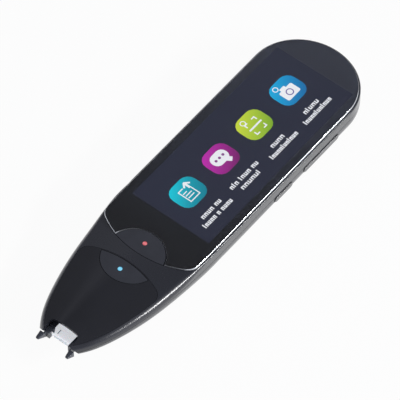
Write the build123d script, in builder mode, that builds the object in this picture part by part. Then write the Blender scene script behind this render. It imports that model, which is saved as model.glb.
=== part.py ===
from build123d import *
from math import sqrt, tan, radians
import os

os.makedirs("parts", exist_ok=True)

# Scanning pen lying on its back: X runs from the tip (-X) to the round tail,
# Z is up through the glass, the origin is at the bottom in the middle.

# Whole pen
pen_length = 159.5
pen_width = 42.4
pen_thickness = 12.0
wall = 1.4
floor_wall = 1.2
roof_wall = 2.0
split_height = 7.2
tail_depth = 19.5
bottom_round = 5.6
rim_drop = 0.8
rim_round = 0.5
cut_overrun = 3.0

# Nose
prong_reach = 2.75
nose_length = 62.0
nose_face_width = 15.2
nose_shoulder_drop = 3.8
nose_centre_drop = 1.0
band_round = 2.2
inner_round = 0.3
belly_lead = 5.0
belly_radius = 500.0
lip_height = 8.6
undercut_angle = 29.0
# One row for each nose section: place along the nose, shoulder drop,
# flat top, centre drop and shoulder rounding
nose_section_shares = [
    (0.0, 0.0, 1.0, 0.0, 0.0),
    (0.155, 0.09, 0.1, 0.0, 0.3),
    (0.306, 0.34, 0.0, 0.0, 1.0),
    (0.46, 0.545, 0.0, 0.02, 1.0),
    (0.613, 0.705, 0.0, 0.1, 0.9),
    (0.774, 0.84, 0.0, 0.35, 0.7),
    (0.927, 0.955, 0.0, 0.75, 0.5),
    (1.04, 1.02, 0.0, 1.1, 0.35),
]
corner_weights = (1, sqrt(0.5), 1)
bottom_flat_share = 0.8
side_wall_share = 0.75
flat_crown_share = 0.001
hollow_section_count = 6

# Fits
skin_gap = 0.1
key_gap = 0.2
slide_gap = 0.15
bore_gap = 0.03

# Display
glass_thickness = 0.9
glass_inset = 0.7
glass_edge_round = 0.5
glass_corner = 5.0
glass_front_radius = 35.0
glass_front_place = 43.45
gasket_thickness = 0.2
gasket_margin = 0.25
window_length = 82.2
window_width = 34.1
window_tail_margin = 12.45
panel_side_border = 0.8
panel_tail_border = 0.6
panel_front_border = 4.0
panel_thickness = 1.2
panel_gap = 0.3
backlight_thickness = 1.3
plate_thickness = 0.4
plate_margin = 0.4

# Nose cover
cover_thickness = 1.0
cover_inset = 2.0
cover_rear_place = 38.7
cover_rear_radius = 42.0
cover_corner = 4.0
notch_width = 12.4
notch_depth = 5.0
notch_corner = 1.7
notch_shelf_setback = 1.5

# Front key, with the blue dot
ok_front_place = 29.85
ok_front_radius = 10.9
ok_rear_gap = 0.45
ok_dot_place = 34.45
# Rear key, with the red dot
back_rear_place = 52.8
back_rear_radius = 11.2
back_dot_place = 48.05
# Both keys
key_cap_round = 0.2
key_flange_margin = 0.7
key_flange_top = 8.8
key_flange_thickness = 0.6
light_pipe_width = 1.6
light_pipe_length = 3.7
key_post_width = 1.8
key_post_offset = 4.2

# Key board
key_board_length = 20.5
key_board_width = 18.0
key_board_height = 5.2
board_thickness = 0.8
board_corner = 1.0
switch_size = 3.4
switch_thickness = 1.2
plunger_width = 1.4
plunger_depth = 1.0
led_length = 1.6
led_width = 0.8
led_thickness = 0.6
post_width = 2.4
post_margin = 1.6

# Side keys
side_key_height = 5.4
side_key_thickness = 2.4
side_key_proud = 0.3
side_flange_margin = 0.7
side_flange_height_margin = 0.3
side_flange_thickness = 0.6
side_flange_gap = 0.3
side_key_travel = 0.35
power_key_length = 10.0
power_key_place = 57.85
rocker_length = 20.0
rocker_place = 36.35
rocker_switch_share = 0.74
side_switch_length = 3.2
side_switch_depth = 1.6
side_switch_height = 2.4
side_plunger_width = 1.1
side_plunger_reach = 0.8
side_plunger_depth = 0.6
side_board_thickness = 0.4
side_board_height = 3.4
side_board_margin = 2.0
side_rib_thickness = 0.8
side_rib_length = 3.0

# Scan tip
mouth_depth = 5.6
tip_travel = 0.4
guide_width = 8.1
guide_front_place = 2.25
guide_length = 7.2
guide_top = 7.1
guide_low = 4.0
guide_rear_low = 5.3
guide_rear_top = 7.9
guide_rise_place = 4.9
guide_front_round = 0.6
guide_mark_width = 0.3
guide_mark_depth = 0.2
guide_mark_length = 2.0
guide_mark_offset = 1.9
window_pane_width = 6.0
window_pane_height = 1.6
window_pane_thickness = 0.5
bracket_gap = 0.05
arm_top = 7.2
arm_low = 4.0
arm_rear_low = 5.35
arm_front_place = 0.8
crossbar_thickness = 0.8
crossbar_window_width = 5.4
crossbar_window_height = 1.6
prong_root_inner = 5.2
prong_root_outer = 7.5
prong_tip_inner = 5.9
prong_tip_outer = 7.1
prong_root_top = 7.3
prong_root_low = 4.1
prong_tip_top = 6.9
prong_tip_low = 6.0
prong_flare_gap = 0.1
prong_round = 0.4
web_length = 2.2
web_reach = 1.3
web_thickness = 0.3
rod_offset = 5.0
rod_thickness = 1.2
rod_length = 4.2
spring_pin_width = 0.9
spring_pin_length = 3.0
spring_outer = 2.2
spring_wire = 0.3
spring_turns = 4

# Camera
optics_height = 6.6
holder_place = 15.0
holder_length = 5.0
holder_width = 7.2
holder_low = 4.1
holder_top = 8.9
holder_wing_thickness = 1.2
holder_wing_reach = 2.9
barrel_width = 4.4
barrel_wall = 0.4
barrel_length = 4.2
lens_thickness = 1.0
sensor_width = 4.8
sensor_height = 4.1
sensor_thickness = 0.7
camera_board_width = 10.0
camera_board_low = 3.7
camera_board_top = 8.9
camera_board_thickness = 0.7
led_board_thickness = 0.6
led_board_width = 6.8
led_board_hole = 3.4
tip_led_size = 0.9
tip_led_thickness = 0.6
tip_led_offset = 2.6
tip_switch_width = 2.6
tip_switch_height = 2.4
tip_plunger_width = 1.0
tip_plunger_depth = 0.9
tip_plunger_reach = 1.1

# Main board
main_board_height = 4.8
main_board_width = 36.0
main_board_front_gap = 2.0
main_board_battery_gap = 3.4
shield_thickness = 1.5
shield_wall = 0.2
processor_shield_size = 15.0
radio_shield_size = 11.0
chip_margin = 1.6
chip_thickness = 0.9
shield_gap = 2.0
connector_length = 3.0
connector_width = 9.0
connector_thickness = 1.2
connector_gap = 0.3
antenna_length = 12.0
antenna_width = 8.0
antenna_thickness = 0.2

# Battery
battery_length = 46.0
battery_width = 30.0
battery_thickness = 4.6
battery_round = 1.0
battery_offset = 0.5
battery_tail_place = 25.25
tape_thickness = 0.2
tape_margin = 4.0
tab_length = 1.3
tab_width = 12.0
tab_height = 2.4

# Speaker
speaker_length = 8.0
speaker_width = 17.0
speaker_thickness = 3.8
speaker_gap = 1.4
mesh_thickness = 0.15
mesh_margin = 1.0
sound_hole_width = 1.0
sound_hole_spacing = 2.2

# Charging socket
usb_board_length = 7.0
usb_board_width = 13.0
usb_board_height = 2.4
usb_board_tail_gap = 5.2
usb_width = 8.94
usb_thickness = 3.26
usb_length = 7.35
usb_wall = 0.3
usb_corner = 1.5
usb_set_back = 1.1
usb_tongue_width = 6.7
usb_tongue_thickness = 0.7
usb_tongue_length = 5.2
usb_slot_gap = 0.2
usb_rib_thickness = 1.0
microphone_length = 2.6
microphone_width = 1.9
microphone_thickness = 1.0
microphone_offset = 5.5
sound_port_width = 0.9

# Ribbons
ribbon_thickness = 0.15
ribbon_width = 6.0
ribbon_bend = 0.6
ribbon_air = 1.4

# Screws
screw_width = 1.6
screw_length = 6.0
screw_head_width = 2.6
screw_head_thickness = 0.9
screw_recess = 0.2
screw_slot_width = 0.5
screw_slot_depth = 0.35
boss_width = 3.8
nose_screw_place = 26.5
nose_screw_offset = 9.5
tail_screw_place = 9.15
tail_screw_offset = 8.7

# Places worked out from the sizes above
half_width = pen_width / 2
tail_x = pen_length / 2
tip_x = -pen_length / 2
face_x = tip_x + prong_reach
nose_start_x = face_x + nose_length
tail_start_x = tail_x - tail_depth
nose_reach = nose_length / sqrt(1 - (nose_face_width / pen_width) ** 2)
belly_x = nose_start_x + belly_lead
body_top = pen_thickness - rim_drop
glass_bottom = pen_thickness - glass_thickness
ledge_height = glass_bottom - gasket_thickness
glass_front_x = face_x + glass_front_place
panel_bottom = glass_bottom - panel_thickness
backlight_bottom = panel_bottom - backlight_thickness
plate_bottom = backlight_bottom - plate_thickness
window_tail_x = tail_x - window_tail_margin
window_front_x = window_tail_x - window_length
panel_front_x = window_front_x - panel_front_border
panel_tail_x = window_tail_x + panel_tail_border
panel_half_width = window_width / 2 + panel_side_border


def section_curve(place, shoulder, flat, sag, rounding, side, top, bottom):
    """Closed outline across the nose, drawn in by side, top and bottom."""
    x = nose_start_x - nose_length * place
    across = max(0, nose_start_x - x) / nose_reach
    full = half_width * sqrt(1 - across ** 2)
    crown_top = pen_thickness - rim_drop * flat - nose_centre_drop * sag
    crown_edge = body_top - (nose_shoulder_drop - rim_drop) * shoulder
    crown_sag = crown_top - crown_edge
    w = full - side
    low = max(0, belly_x - x) ** 2 / (2 * belly_radius) + bottom
    r = max(rim_round + (band_round - rim_round) * rounding - side, inner_round)
    c = w - r
    high = crown_top - top
    if crown_sag > flat_crown_share * pen_thickness:
        crown = (full ** 2 + crown_sag ** 2) / (2 * crown_sag)
        run = sqrt(crown ** 2 - c ** 2)
        c_high = high - crown + run
        slope = c / run
    else:
        c_high = high
        slope = 0
    corner = c_high - slope * r
    wall_top = corner - r
    lift = min(bottom_round - side, side_wall_share * (wall_top - low))
    flat_run = min(bottom_round - side, bottom_flat_share * w)
    with BuildSketch(Plane.YZ.offset(x)) as outline:
        with BuildLine():
            Line((flat_run - w, low), (w - flat_run, low))
            Bezier((w - flat_run, low), (w, low), (w, low + lift), weights=corner_weights)
            Line((w, low + lift), (w, wall_top))
            Bezier((w, wall_top), (w, corner), (c, c_high), weights=corner_weights)
            if slope > 0:
                ThreePointArc((c, c_high), (0, high), (-c, c_high))
            else:
                Line((c, c_high), (-c, c_high))
            Bezier((-c, c_high), (-w, corner), (-w, wall_top), weights=corner_weights)
            Line((-w, wall_top), (-w, low + lift))
            Bezier((-w, low + lift), (-w, low), (flat_run - w, low), weights=corner_weights)
        make_face()
    return outline.sketch


def nose_body(side, top, bottom, section_count):
    """Nose of the pen up to the straight body, drawn in by side, top and bottom."""
    belly_share = (nose_start_x - belly_x) / nose_length
    rows = [(belly_share,) + nose_section_shares[0][1:]] + nose_section_shares[:section_count]
    with BuildPart() as nose:
        loft(sections=[section_curve(*row, side, top, bottom) for row in rows])
    return nose.part


def tail_plan(height, inset):
    """Plan of the straight body and its round tail, drawn in by inset."""
    w = half_width - inset
    with BuildSketch(Plane.XY.offset(height)) as plan:
        with BuildLine():
            Line((belly_x, -w), (tail_start_x, -w))
            EllipticalCenterArc((tail_start_x, 0), tail_depth - inset, w, -90, arc_size=180)
            Line((tail_start_x, w), (belly_x, w))
            Line((belly_x, w), (belly_x, -w))
        make_face()
    return plan.sketch


def pen_plan(height, inset):
    """Plan of the whole pen with its nose closed to a point, drawn in by inset."""
    w = half_width - inset
    with BuildSketch(Plane.XY.offset(height)) as plan:
        with BuildLine():
            Line((nose_start_x, -w), (tail_start_x, -w))
            EllipticalCenterArc((tail_start_x, 0), tail_depth - inset, w, -90, arc_size=180)
            Line((tail_start_x, w), (nose_start_x, w))
            EllipticalCenterArc((nose_start_x, 0), nose_reach - inset, w, 90, arc_size=180)
        make_face()
    return plan.sketch


def tail_body(side, top, bottom):
    """Straight body with its round tail, drawn in by side, top and bottom."""
    with BuildPart() as tail:
        extrude(tail_plan(bottom, side), amount=body_top - top - bottom)
        fillet(tail.faces().sort_by(Axis.Z)[0].edges().sort_by(Axis.X)[1:], radius=bottom_round - side)
        fillet(tail.faces().sort_by(Axis.Z)[-1].edges().sort_by(Axis.X)[1:], radius=max(rim_round - side, inner_round))
    return tail.part


def front_cut():
    """Space in front of the nose's face, which slants back under its lip."""
    slant = tan(radians(undercut_angle)) * (lip_height + cut_overrun)
    with BuildPart() as space:
        with BuildSketch(Plane.XZ.offset(-half_width)):
            with BuildLine():
                Polyline(
                    (face_x - nose_length, -cut_overrun),
                    (face_x + slant, -cut_overrun),
                    (face_x, lip_height),
                    (face_x, pen_thickness + cut_overrun),
                    (face_x - nose_length, pen_thickness + cut_overrun),
                    close=True,
                )
            make_face()
        extrude(amount=pen_width)
    return space.part


nose_skin = nose_body(0, 0, 0, len(nose_section_shares))
nose_under_cover = nose_body(0, cover_thickness, -cut_overrun, len(nose_section_shares))
tip_space = front_cut()

with BuildPart() as skin:
    add(tail_body(0, 0, 0))
    add(nose_skin)
    add(tip_space, mode=Mode.SUBTRACT)
pen_skin = skin.part

with BuildPart() as hollow:
    add(tail_body(wall, roof_wall, floor_wall))
    add(nose_body(wall, roof_wall, floor_wall, hollow_section_count))
pen_hollow = hollow.part


def glass_plan(height, grow):
    """Plan of the cover glass, without the half moon for the rear key."""
    with BuildSketch(Plane.XY.offset(height)) as front:
        with Locations((glass_front_x + glass_front_radius, 0)):
            Circle(glass_front_radius + grow)
            Rectangle(pen_length, pen_width, align=(Align.MIN, Align.CENTER))
    with BuildSketch(Plane.XY.offset(height)) as plan:
        add(pen_plan(height, glass_inset - grow))
        add(front.sketch, mode=Mode.INTERSECT)
        fillet(plan.vertices().sort_by(Axis.X)[:2], radius=glass_corner)
    return plan.sketch


def back_plan(height, grow):
    """Half moon of the rear key."""
    with BuildSketch(Plane.XY.offset(height)) as plan:
        with Locations((face_x + back_rear_place - back_rear_radius, 0)):
            Circle(back_rear_radius + grow)
        with Locations((glass_front_x + glass_front_radius, 0)):
            Circle(glass_front_radius + grow, mode=Mode.INTERSECT)
    return plan.sketch


def ok_plan(height, grow):
    """Lens outline of the front key."""
    rear_x = face_x + cover_rear_place - ok_rear_gap
    with BuildSketch(Plane.XY.offset(height)) as plan:
        with Locations((face_x + ok_front_place + ok_front_radius, 0)):
            Circle(ok_front_radius + grow)
        with Locations((rear_x - cover_rear_radius, 0)):
            Circle(cover_rear_radius + grow, mode=Mode.INTERSECT)
    return plan.sketch


def cover_block(grow):
    """Upright block with the plan of the nose cover, closed to a point in front of the tip."""
    with BuildPart() as block:
        with BuildSketch(Plane.XY.offset(split_height)):
            add(pen_plan(split_height, cover_inset - grow))
            with Locations((face_x + cover_rear_place - cover_rear_radius, 0)):
                Circle(cover_rear_radius + grow, mode=Mode.INTERSECT)
        extrude(amount=pen_thickness)
        uprights = block.edges().filter_by(Axis.Z)
        fillet(uprights.sort_by(lambda edge: abs(edge.center().Y))[-2:], radius=cover_corner)
    return block.part


def notch_plan(height, setback):
    """Plan of the notch at the tip, which runs out in front of the face."""
    back_x = face_x + notch_depth + setback
    with BuildSketch(Plane.XY.offset(height)) as plan:
        with Locations((back_x, 0)):
            Rectangle(nose_length / 2, notch_width, align=(Align.MAX, Align.CENTER))
        fillet(plan.vertices().sort_by(Axis.X)[-2:], radius=notch_corner)
    return plan.sketch


def rounded_box(x0, x1, y0, y1, z0, z1, corner=0):
    """Upright box between six places, with its standing edges rounded."""
    with BuildPart() as box:
        with BuildSketch(Plane.XY.offset(z0)):
            with Locations(((x0 + x1) / 2, (y0 + y1) / 2)):
                if corner > 0:
                    RectangleRounded(x1 - x0, y1 - y0, corner)
                else:
                    Rectangle(x1 - x0, y1 - y0)
        extrude(amount=z1 - z0)
    return box.part


def side_bar(x, length, height, y0, y1, gap):
    """Bar with round ends that runs across the side wall from y0 to y1."""
    with BuildPart() as bar:
        with BuildSketch(Plane.XZ.offset(-y1)):
            with Locations((x, side_key_height)):
                SlotOverall(length + 2 * gap, height + 2 * gap)
        extrude(amount=y1 - y0)
    return bar.part


# Places of the side keys
power_x = tail_x - power_key_place
rocker_x = tail_x - rocker_place
rocker_switch_reach = rocker_length / 2 * rocker_switch_share
inner_side_y = half_width - wall
flange_outer_y = inner_side_y - side_flange_gap
flange_inner_y = flange_outer_y - side_flange_thickness
side_switch_y = flange_inner_y - side_plunger_reach
side_board_y = side_switch_y - side_switch_depth
side_rib_y = side_board_y - side_board_thickness
side_switch_x = [power_x, rocker_x - rocker_switch_reach, rocker_x + rocker_switch_reach]

# Places of the charging socket
usb_board_tail_x = tail_x - usb_board_tail_gap
usb_low = usb_board_height + board_thickness
usb_middle = usb_low + usb_thickness / 2
usb_front_x = tail_x - usb_set_back - usb_length

# Places of the keys and their board
ok_dot_x = face_x + ok_dot_place
back_dot_x = face_x + back_dot_place
key_board_front_x = face_x + ok_front_place - ok_rear_gap
key_board_rear_x = key_board_front_x + key_board_length
key_board_top = key_board_height + board_thickness
key_flange_low = key_flange_top - key_flange_thickness
key_posts = [
    (x, y)
    for x in (key_board_front_x + post_margin, key_board_rear_x - post_margin)
    for y in (post_margin - key_board_width / 2, key_board_width / 2 - post_margin)
]

# Places along the body
battery_tail_x = tail_x - battery_tail_place
battery_front_x = battery_tail_x - battery_length
main_board_front_x = key_board_rear_x + main_board_front_gap
main_board_tail_x = battery_front_x - main_board_battery_gap
main_board_top = main_board_height + board_thickness
battery_low = floor_wall + tape_thickness
speaker_front_x = battery_tail_x + speaker_gap
speaker_middle_x = speaker_front_x + speaker_length / 2
main_posts = [
    (x, y)
    for x in (main_board_front_x + post_margin, main_board_tail_x - post_margin)
    for y in (post_margin - main_board_width / 2, main_board_width / 2 - post_margin)
]
screw_places = [
    (face_x + nose_screw_place, -nose_screw_offset),
    (face_x + nose_screw_place, nose_screw_offset),
    (tail_x - tail_screw_place, -tail_screw_offset),
    (tail_x - tail_screw_place, tail_screw_offset),
]


def belly(x):
    """Height of the outer underside at a place along the pen."""
    return max(0, belly_x - x) ** 2 / (2 * belly_radius)


screw_head_low = [belly(x) + screw_recess for x, y in screw_places]
boss_top = screw_length + screw_head_thickness

# Places of the scan tip
guide_front_x = face_x + guide_front_place
guide_rear_x = guide_front_x + guide_length
crossbar_front_x = guide_rear_x + bracket_gap
crossbar_rear_x = crossbar_front_x + crossbar_thickness
arm_inner = guide_width / 2 + bracket_gap
arm_outer = notch_width / 2 - slide_gap - bracket_gap
mouth_back_x = face_x + mouth_depth
holder_front_x = face_x + holder_place
holder_rear_x = holder_front_x + holder_length

throat = rounded_box(face_x, holder_front_x, -notch_width / 2, notch_width / 2,
                     guide_rear_low - slide_gap, guide_rear_top + slide_gap)

# Lower half shell
with BuildPart() as lower_housing:
    add(pen_skin)
    split(bisect_by=Plane.XY.offset(split_height), keep=Keep.BOTTOM)
    add(pen_hollow, mode=Mode.SUBTRACT)
    for (x, y), low in zip(screw_places, screw_head_low):
        with BuildSketch(Plane.XY.offset(low + screw_head_thickness)):
            with Locations((x, y)):
                Circle(boss_width / 2)
        extrude(amount=boss_top - low - screw_head_thickness)
    with BuildSketch(Plane.XY.offset(floor_wall)):
        with Locations(*main_posts):
            Circle(post_width / 2)
    extrude(amount=main_board_height - floor_wall)
    for x, y in key_posts:
        with BuildSketch(Plane.XY.offset(belly(x) + floor_wall / 2)):
            with Locations((x, y)):
                Circle(post_width / 2)
        extrude(amount=key_board_height - belly(x) - floor_wall / 2)
    for x in (power_x, rocker_x):
        add(rounded_box(x - side_rib_length / 2, x + side_rib_length / 2, -side_rib_y,
                        side_rib_thickness - side_rib_y, floor_wall / 2, split_height - slide_gap))
    for x in (usb_board_tail_x - usb_board_length + usb_rib_thickness, usb_board_tail_x - usb_rib_thickness):
        add(rounded_box(x - usb_rib_thickness / 2, x + usb_rib_thickness / 2,
                        -usb_board_width / 2, usb_board_width / 2, floor_wall / 2, usb_board_height))
    # Slots and seats of the side keys
    for x, length in [(power_x, power_key_length), (rocker_x, rocker_length)]:
        add(side_bar(x, length, side_key_thickness, -half_width - cut_overrun, 2 * wall - half_width, key_gap),
            mode=Mode.SUBTRACT)
        seat = length / 2 + side_flange_margin + key_gap
        low = side_key_height - side_key_thickness / 2 - side_flange_height_margin - key_gap
        add(rounded_box(x - seat, x + seat, -inner_side_y, -side_board_y, low, split_height), mode=Mode.SUBTRACT)
    # Socket slot, microphone port and sound holes
    with BuildSketch(Plane.YZ.offset(tail_x - tail_depth / 2)):
        with Locations((0, usb_middle)):
            RectangleRounded(usb_width + 2 * usb_slot_gap, usb_thickness + 2 * usb_slot_gap, usb_corner)
    extrude(amount=tail_depth, mode=Mode.SUBTRACT)
    with BuildSketch(Plane.YZ.offset(usb_board_tail_x)):
        with Locations((microphone_offset, usb_low + microphone_thickness / 2)):
            Circle(sound_port_width / 2)
    extrude(amount=tail_depth, mode=Mode.SUBTRACT)
    with BuildSketch(Plane.XY.offset(-cut_overrun)):
        with Locations((speaker_middle_x, 0)):
            with GridLocations(sound_hole_spacing, sound_hole_spacing, 3, 6):
                Circle(sound_hole_width / 2)
    extrude(amount=cut_overrun + floor_wall + mesh_thickness, mode=Mode.SUBTRACT)
    # Mouth for the scan tip and the throat behind it
    add(rounded_box(face_x - cut_overrun, mouth_back_x, -notch_width / 2, notch_width / 2,
                    -cut_overrun, pen_thickness), mode=Mode.SUBTRACT)
    add(throat, mode=Mode.SUBTRACT)
    # Screw holes with seats for the heads
    for (x, y), low in zip(screw_places, screw_head_low):
        with BuildSketch(Plane.XY.offset(-cut_overrun)):
            with Locations((x, y)):
                Circle(screw_head_width / 2 + skin_gap)
        extrude(amount=cut_overrun + low + screw_head_thickness, mode=Mode.SUBTRACT)
        with BuildSketch(Plane.XY.offset(low)):
            with Locations((x, y)):
                Circle(screw_width / 2 + skin_gap)
        extrude(amount=boss_top, mode=Mode.SUBTRACT)

# Recess of the nose cover
with BuildPart() as cover_recess:
    add(cover_block(skin_gap))
    add(nose_under_cover, mode=Mode.SUBTRACT)

# Upper half shell
with BuildPart() as upper_housing:
    add(pen_skin)
    split(bisect_by=Plane.XY.offset(split_height), keep=Keep.TOP)
    add(pen_hollow, mode=Mode.SUBTRACT)
    for x, y in screw_places:
        with BuildSketch(Plane.XY.offset(boss_top + bore_gap)):
            with Locations((x, y)):
                Circle(boss_width / 2)
        extrude(amount=ledge_height - cover_thickness - boss_top - bore_gap)
    extrude(glass_plan(ledge_height, skin_gap), amount=pen_thickness, mode=Mode.SUBTRACT)
    add(rounded_box(panel_front_x - panel_gap, panel_tail_x + panel_gap, -panel_half_width - panel_gap,
                    panel_half_width + panel_gap, 0, pen_thickness), mode=Mode.SUBTRACT)
    add(cover_recess.part, mode=Mode.SUBTRACT)
    extrude(ok_plan(split_height, key_gap), amount=pen_thickness, mode=Mode.SUBTRACT)
    extrude(back_plan(split_height, key_gap), amount=pen_thickness, mode=Mode.SUBTRACT)
    extrude(notch_plan(0, notch_shelf_setback), amount=2 * pen_thickness, mode=Mode.SUBTRACT)
    add(throat, mode=Mode.SUBTRACT)
    for x, y in screw_places:
        with BuildSketch(Plane.XY.offset(boss_top - cut_overrun)):
            with Locations((x, y)):
                Circle(screw_width / 2 + bore_gap)
        extrude(amount=cut_overrun + 2 * roof_wall - cover_thickness, mode=Mode.SUBTRACT)

# Gloss cover of the nose
with BuildPart() as nose_cover:
    add(cover_block(0))
    add(nose_skin, mode=Mode.INTERSECT)
    add(nose_under_cover, mode=Mode.SUBTRACT)
    add(tip_space, mode=Mode.SUBTRACT)
    extrude(ok_plan(split_height, key_gap), amount=pen_thickness, mode=Mode.SUBTRACT)
    extrude(notch_plan(split_height, 0), amount=pen_thickness, mode=Mode.SUBTRACT)

# Cover glass with its rounded edge
with BuildPart() as display_glass:
    extrude(glass_plan(glass_bottom, 0), amount=glass_thickness)
    extrude(back_plan(glass_bottom, key_gap), amount=glass_thickness, mode=Mode.SUBTRACT)
    fillet(display_glass.faces().sort_by(Axis.Z)[-1].edges(), radius=glass_edge_round)

# Adhesive frame under the rim of the glass
with BuildPart() as display_gasket:
    extrude(glass_plan(ledge_height, -gasket_margin), amount=gasket_thickness)
    extrude(back_plan(ledge_height, key_gap + gasket_margin), amount=gasket_thickness, mode=Mode.SUBTRACT)
    add(rounded_box(panel_front_x - panel_gap, panel_tail_x + panel_gap, -panel_half_width - panel_gap,
                    panel_half_width + panel_gap, 0, pen_thickness), mode=Mode.SUBTRACT)

# Screen, its backlight and the steel plate behind it
with BuildPart() as lcd_panel:
    add(rounded_box(panel_front_x, panel_tail_x, -panel_half_width, panel_half_width, panel_bottom, glass_bottom))
with BuildPart() as backlight_unit:
    add(rounded_box(panel_front_x, panel_tail_x, -panel_half_width, panel_half_width, backlight_bottom, panel_bottom))
with BuildPart() as display_plate:
    add(rounded_box(panel_front_x + plate_margin, panel_tail_x - plate_margin, -panel_half_width - plate_margin,
                    panel_half_width + plate_margin, plate_bottom, backlight_bottom, board_corner))


def key_piece(plan, dot_x):
    """Key with a crowned top, a flange that holds it in and a post to its switch."""
    with BuildPart() as key:
        extrude(plan(key_flange_low, 0), amount=pen_thickness)
        add(nose_skin, mode=Mode.INTERSECT)
        extrude(plan(key_flange_low, key_flange_margin), amount=key_flange_thickness)
        with BuildSketch(Plane.XY.offset(key_board_top + switch_thickness + plunger_depth / 2)):
            with Locations((dot_x, -key_post_offset)):
                Circle(key_post_width / 2)
        extrude(amount=key_flange_low - key_board_top - switch_thickness - plunger_depth / 2)
        with BuildSketch():
            with Locations((dot_x, 0)):
                Circle(light_pipe_width / 2 + bore_gap)
        extrude(amount=pen_thickness + cut_overrun, mode=Mode.SUBTRACT)
    return key.part


def pipe_piece(dot_x):
    """Light pipe that ends flush with the crowned top of its key."""
    with BuildPart() as pipe:
        with BuildSketch(Plane.XY.offset(pen_thickness - light_pipe_length)):
            with Locations((dot_x, 0)):
                Circle(light_pipe_width / 2)
        extrude(amount=light_pipe_length + cut_overrun)
        add(nose_skin, mode=Mode.INTERSECT)
    return pipe.part


with BuildPart() as ok_button:
    add(key_piece(ok_plan, ok_dot_x))
with BuildPart() as back_button:
    add(key_piece(back_plan, back_dot_x))
with BuildPart() as ok_light_pipe:
    add(pipe_piece(ok_dot_x))
with BuildPart() as back_light_pipe:
    add(pipe_piece(back_dot_x))

# Board under the keys, with its switches and indicator lamps
with BuildPart() as key_board:
    add(rounded_box(key_board_front_x, key_board_rear_x, -key_board_width / 2, key_board_width / 2,
                    key_board_height, key_board_top, board_corner))
with BuildPart() as key_switches:
    for x in (ok_dot_x, back_dot_x):
        add(rounded_box(x - switch_size / 2, x + switch_size / 2, -key_post_offset - switch_size / 2,
                        -key_post_offset + switch_size / 2, key_board_top, key_board_top + switch_thickness))
        with BuildSketch(Plane.XY.offset(key_board_top + switch_thickness - plunger_depth)):
            with Locations((x, -key_post_offset)):
                Circle(plunger_width / 2 + slide_gap)
        extrude(amount=plunger_depth, mode=Mode.SUBTRACT)
with BuildPart() as ok_switch_plunger:
    with BuildSketch(Plane.XY.offset(key_board_top + switch_thickness - plunger_depth / 4)):
        with Locations((ok_dot_x, -key_post_offset)):
            Circle(plunger_width / 2)
    extrude(amount=3 * plunger_depth / 4)
with BuildPart() as back_switch_plunger:
    with BuildSketch(Plane.XY.offset(key_board_top + switch_thickness - plunger_depth / 4)):
        with Locations((back_dot_x, -key_post_offset)):
            Circle(plunger_width / 2)
    extrude(amount=3 * plunger_depth / 4)
with BuildPart() as status_leds:
    for x in (ok_dot_x, back_dot_x):
        add(rounded_box(x - led_width / 2, x + led_width / 2, -led_length / 2, led_length / 2,
                        key_board_top, key_board_top + led_thickness))


def side_key(x, length):
    """Side key: round-ended cap through the wall and a flange inside it."""
    with BuildPart() as key:
        add(side_bar(x, length, side_key_thickness, -half_width - side_key_proud, -flange_outer_y, 0))
        fillet(key.faces().sort_by(Axis.Y)[0].edges(), radius=key_cap_round)
        flange = length / 2 + side_flange_margin
        rise = side_key_thickness / 2 + side_flange_height_margin
        add(rounded_box(x - flange, x + flange, -flange_outer_y, -flange_inner_y,
                        side_key_height - rise, side_key_height + rise))
    return key.part


def side_plungers(places):
    """Round plungers between the side keys and their switches."""
    with BuildPart() as plungers:
        with BuildSketch(Plane.XZ.offset(side_switch_y - side_plunger_depth / 2)):
            with Locations(*[(x, side_key_height) for x in places]):
                Circle(side_plunger_width / 2)
        extrude(amount=side_plunger_reach + side_plunger_depth / 2)
    return plungers.part


with BuildPart() as power_button:
    add(side_key(power_x, power_key_length))
with BuildPart() as volume_rocker:
    add(side_key(rocker_x, rocker_length))
with BuildPart() as power_switch_plunger:
    add(side_plungers(side_switch_x[:1]))
with BuildPart() as volume_switch_plungers:
    add(side_plungers(side_switch_x[1:]))
with BuildPart() as side_switches:
    with BuildSketch(Plane.XZ.offset(side_board_y)):
        with Locations(*[(x, side_key_height) for x in side_switch_x]):
            Rectangle(side_switch_length, side_switch_height)
    extrude(amount=side_switch_depth)
    with BuildSketch(Plane.XZ.offset(side_switch_y)):
        with Locations(*[(x, side_key_height) for x in side_switch_x]):
            Circle(side_plunger_width / 2 + slide_gap)
    extrude(amount=-side_plunger_depth - side_key_travel, mode=Mode.SUBTRACT)
side_board_front_x = power_x - power_key_length / 2 - side_board_margin
side_board_tail_x = rocker_x + rocker_length / 2 + side_board_margin
with BuildPart() as side_key_board:
    add(rounded_box(side_board_front_x, side_board_tail_x, -side_board_y, -side_rib_y,
                    side_key_height - side_board_height / 2, side_key_height + side_board_height / 2))

# Scan tip: bracket with its prongs, light guide and pane
prong_root_x = face_x + tan(radians(undercut_angle)) * (lip_height - prong_root_top) - prong_flare_gap - tip_travel
arm_front_x = prong_root_x + arm_front_place


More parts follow.
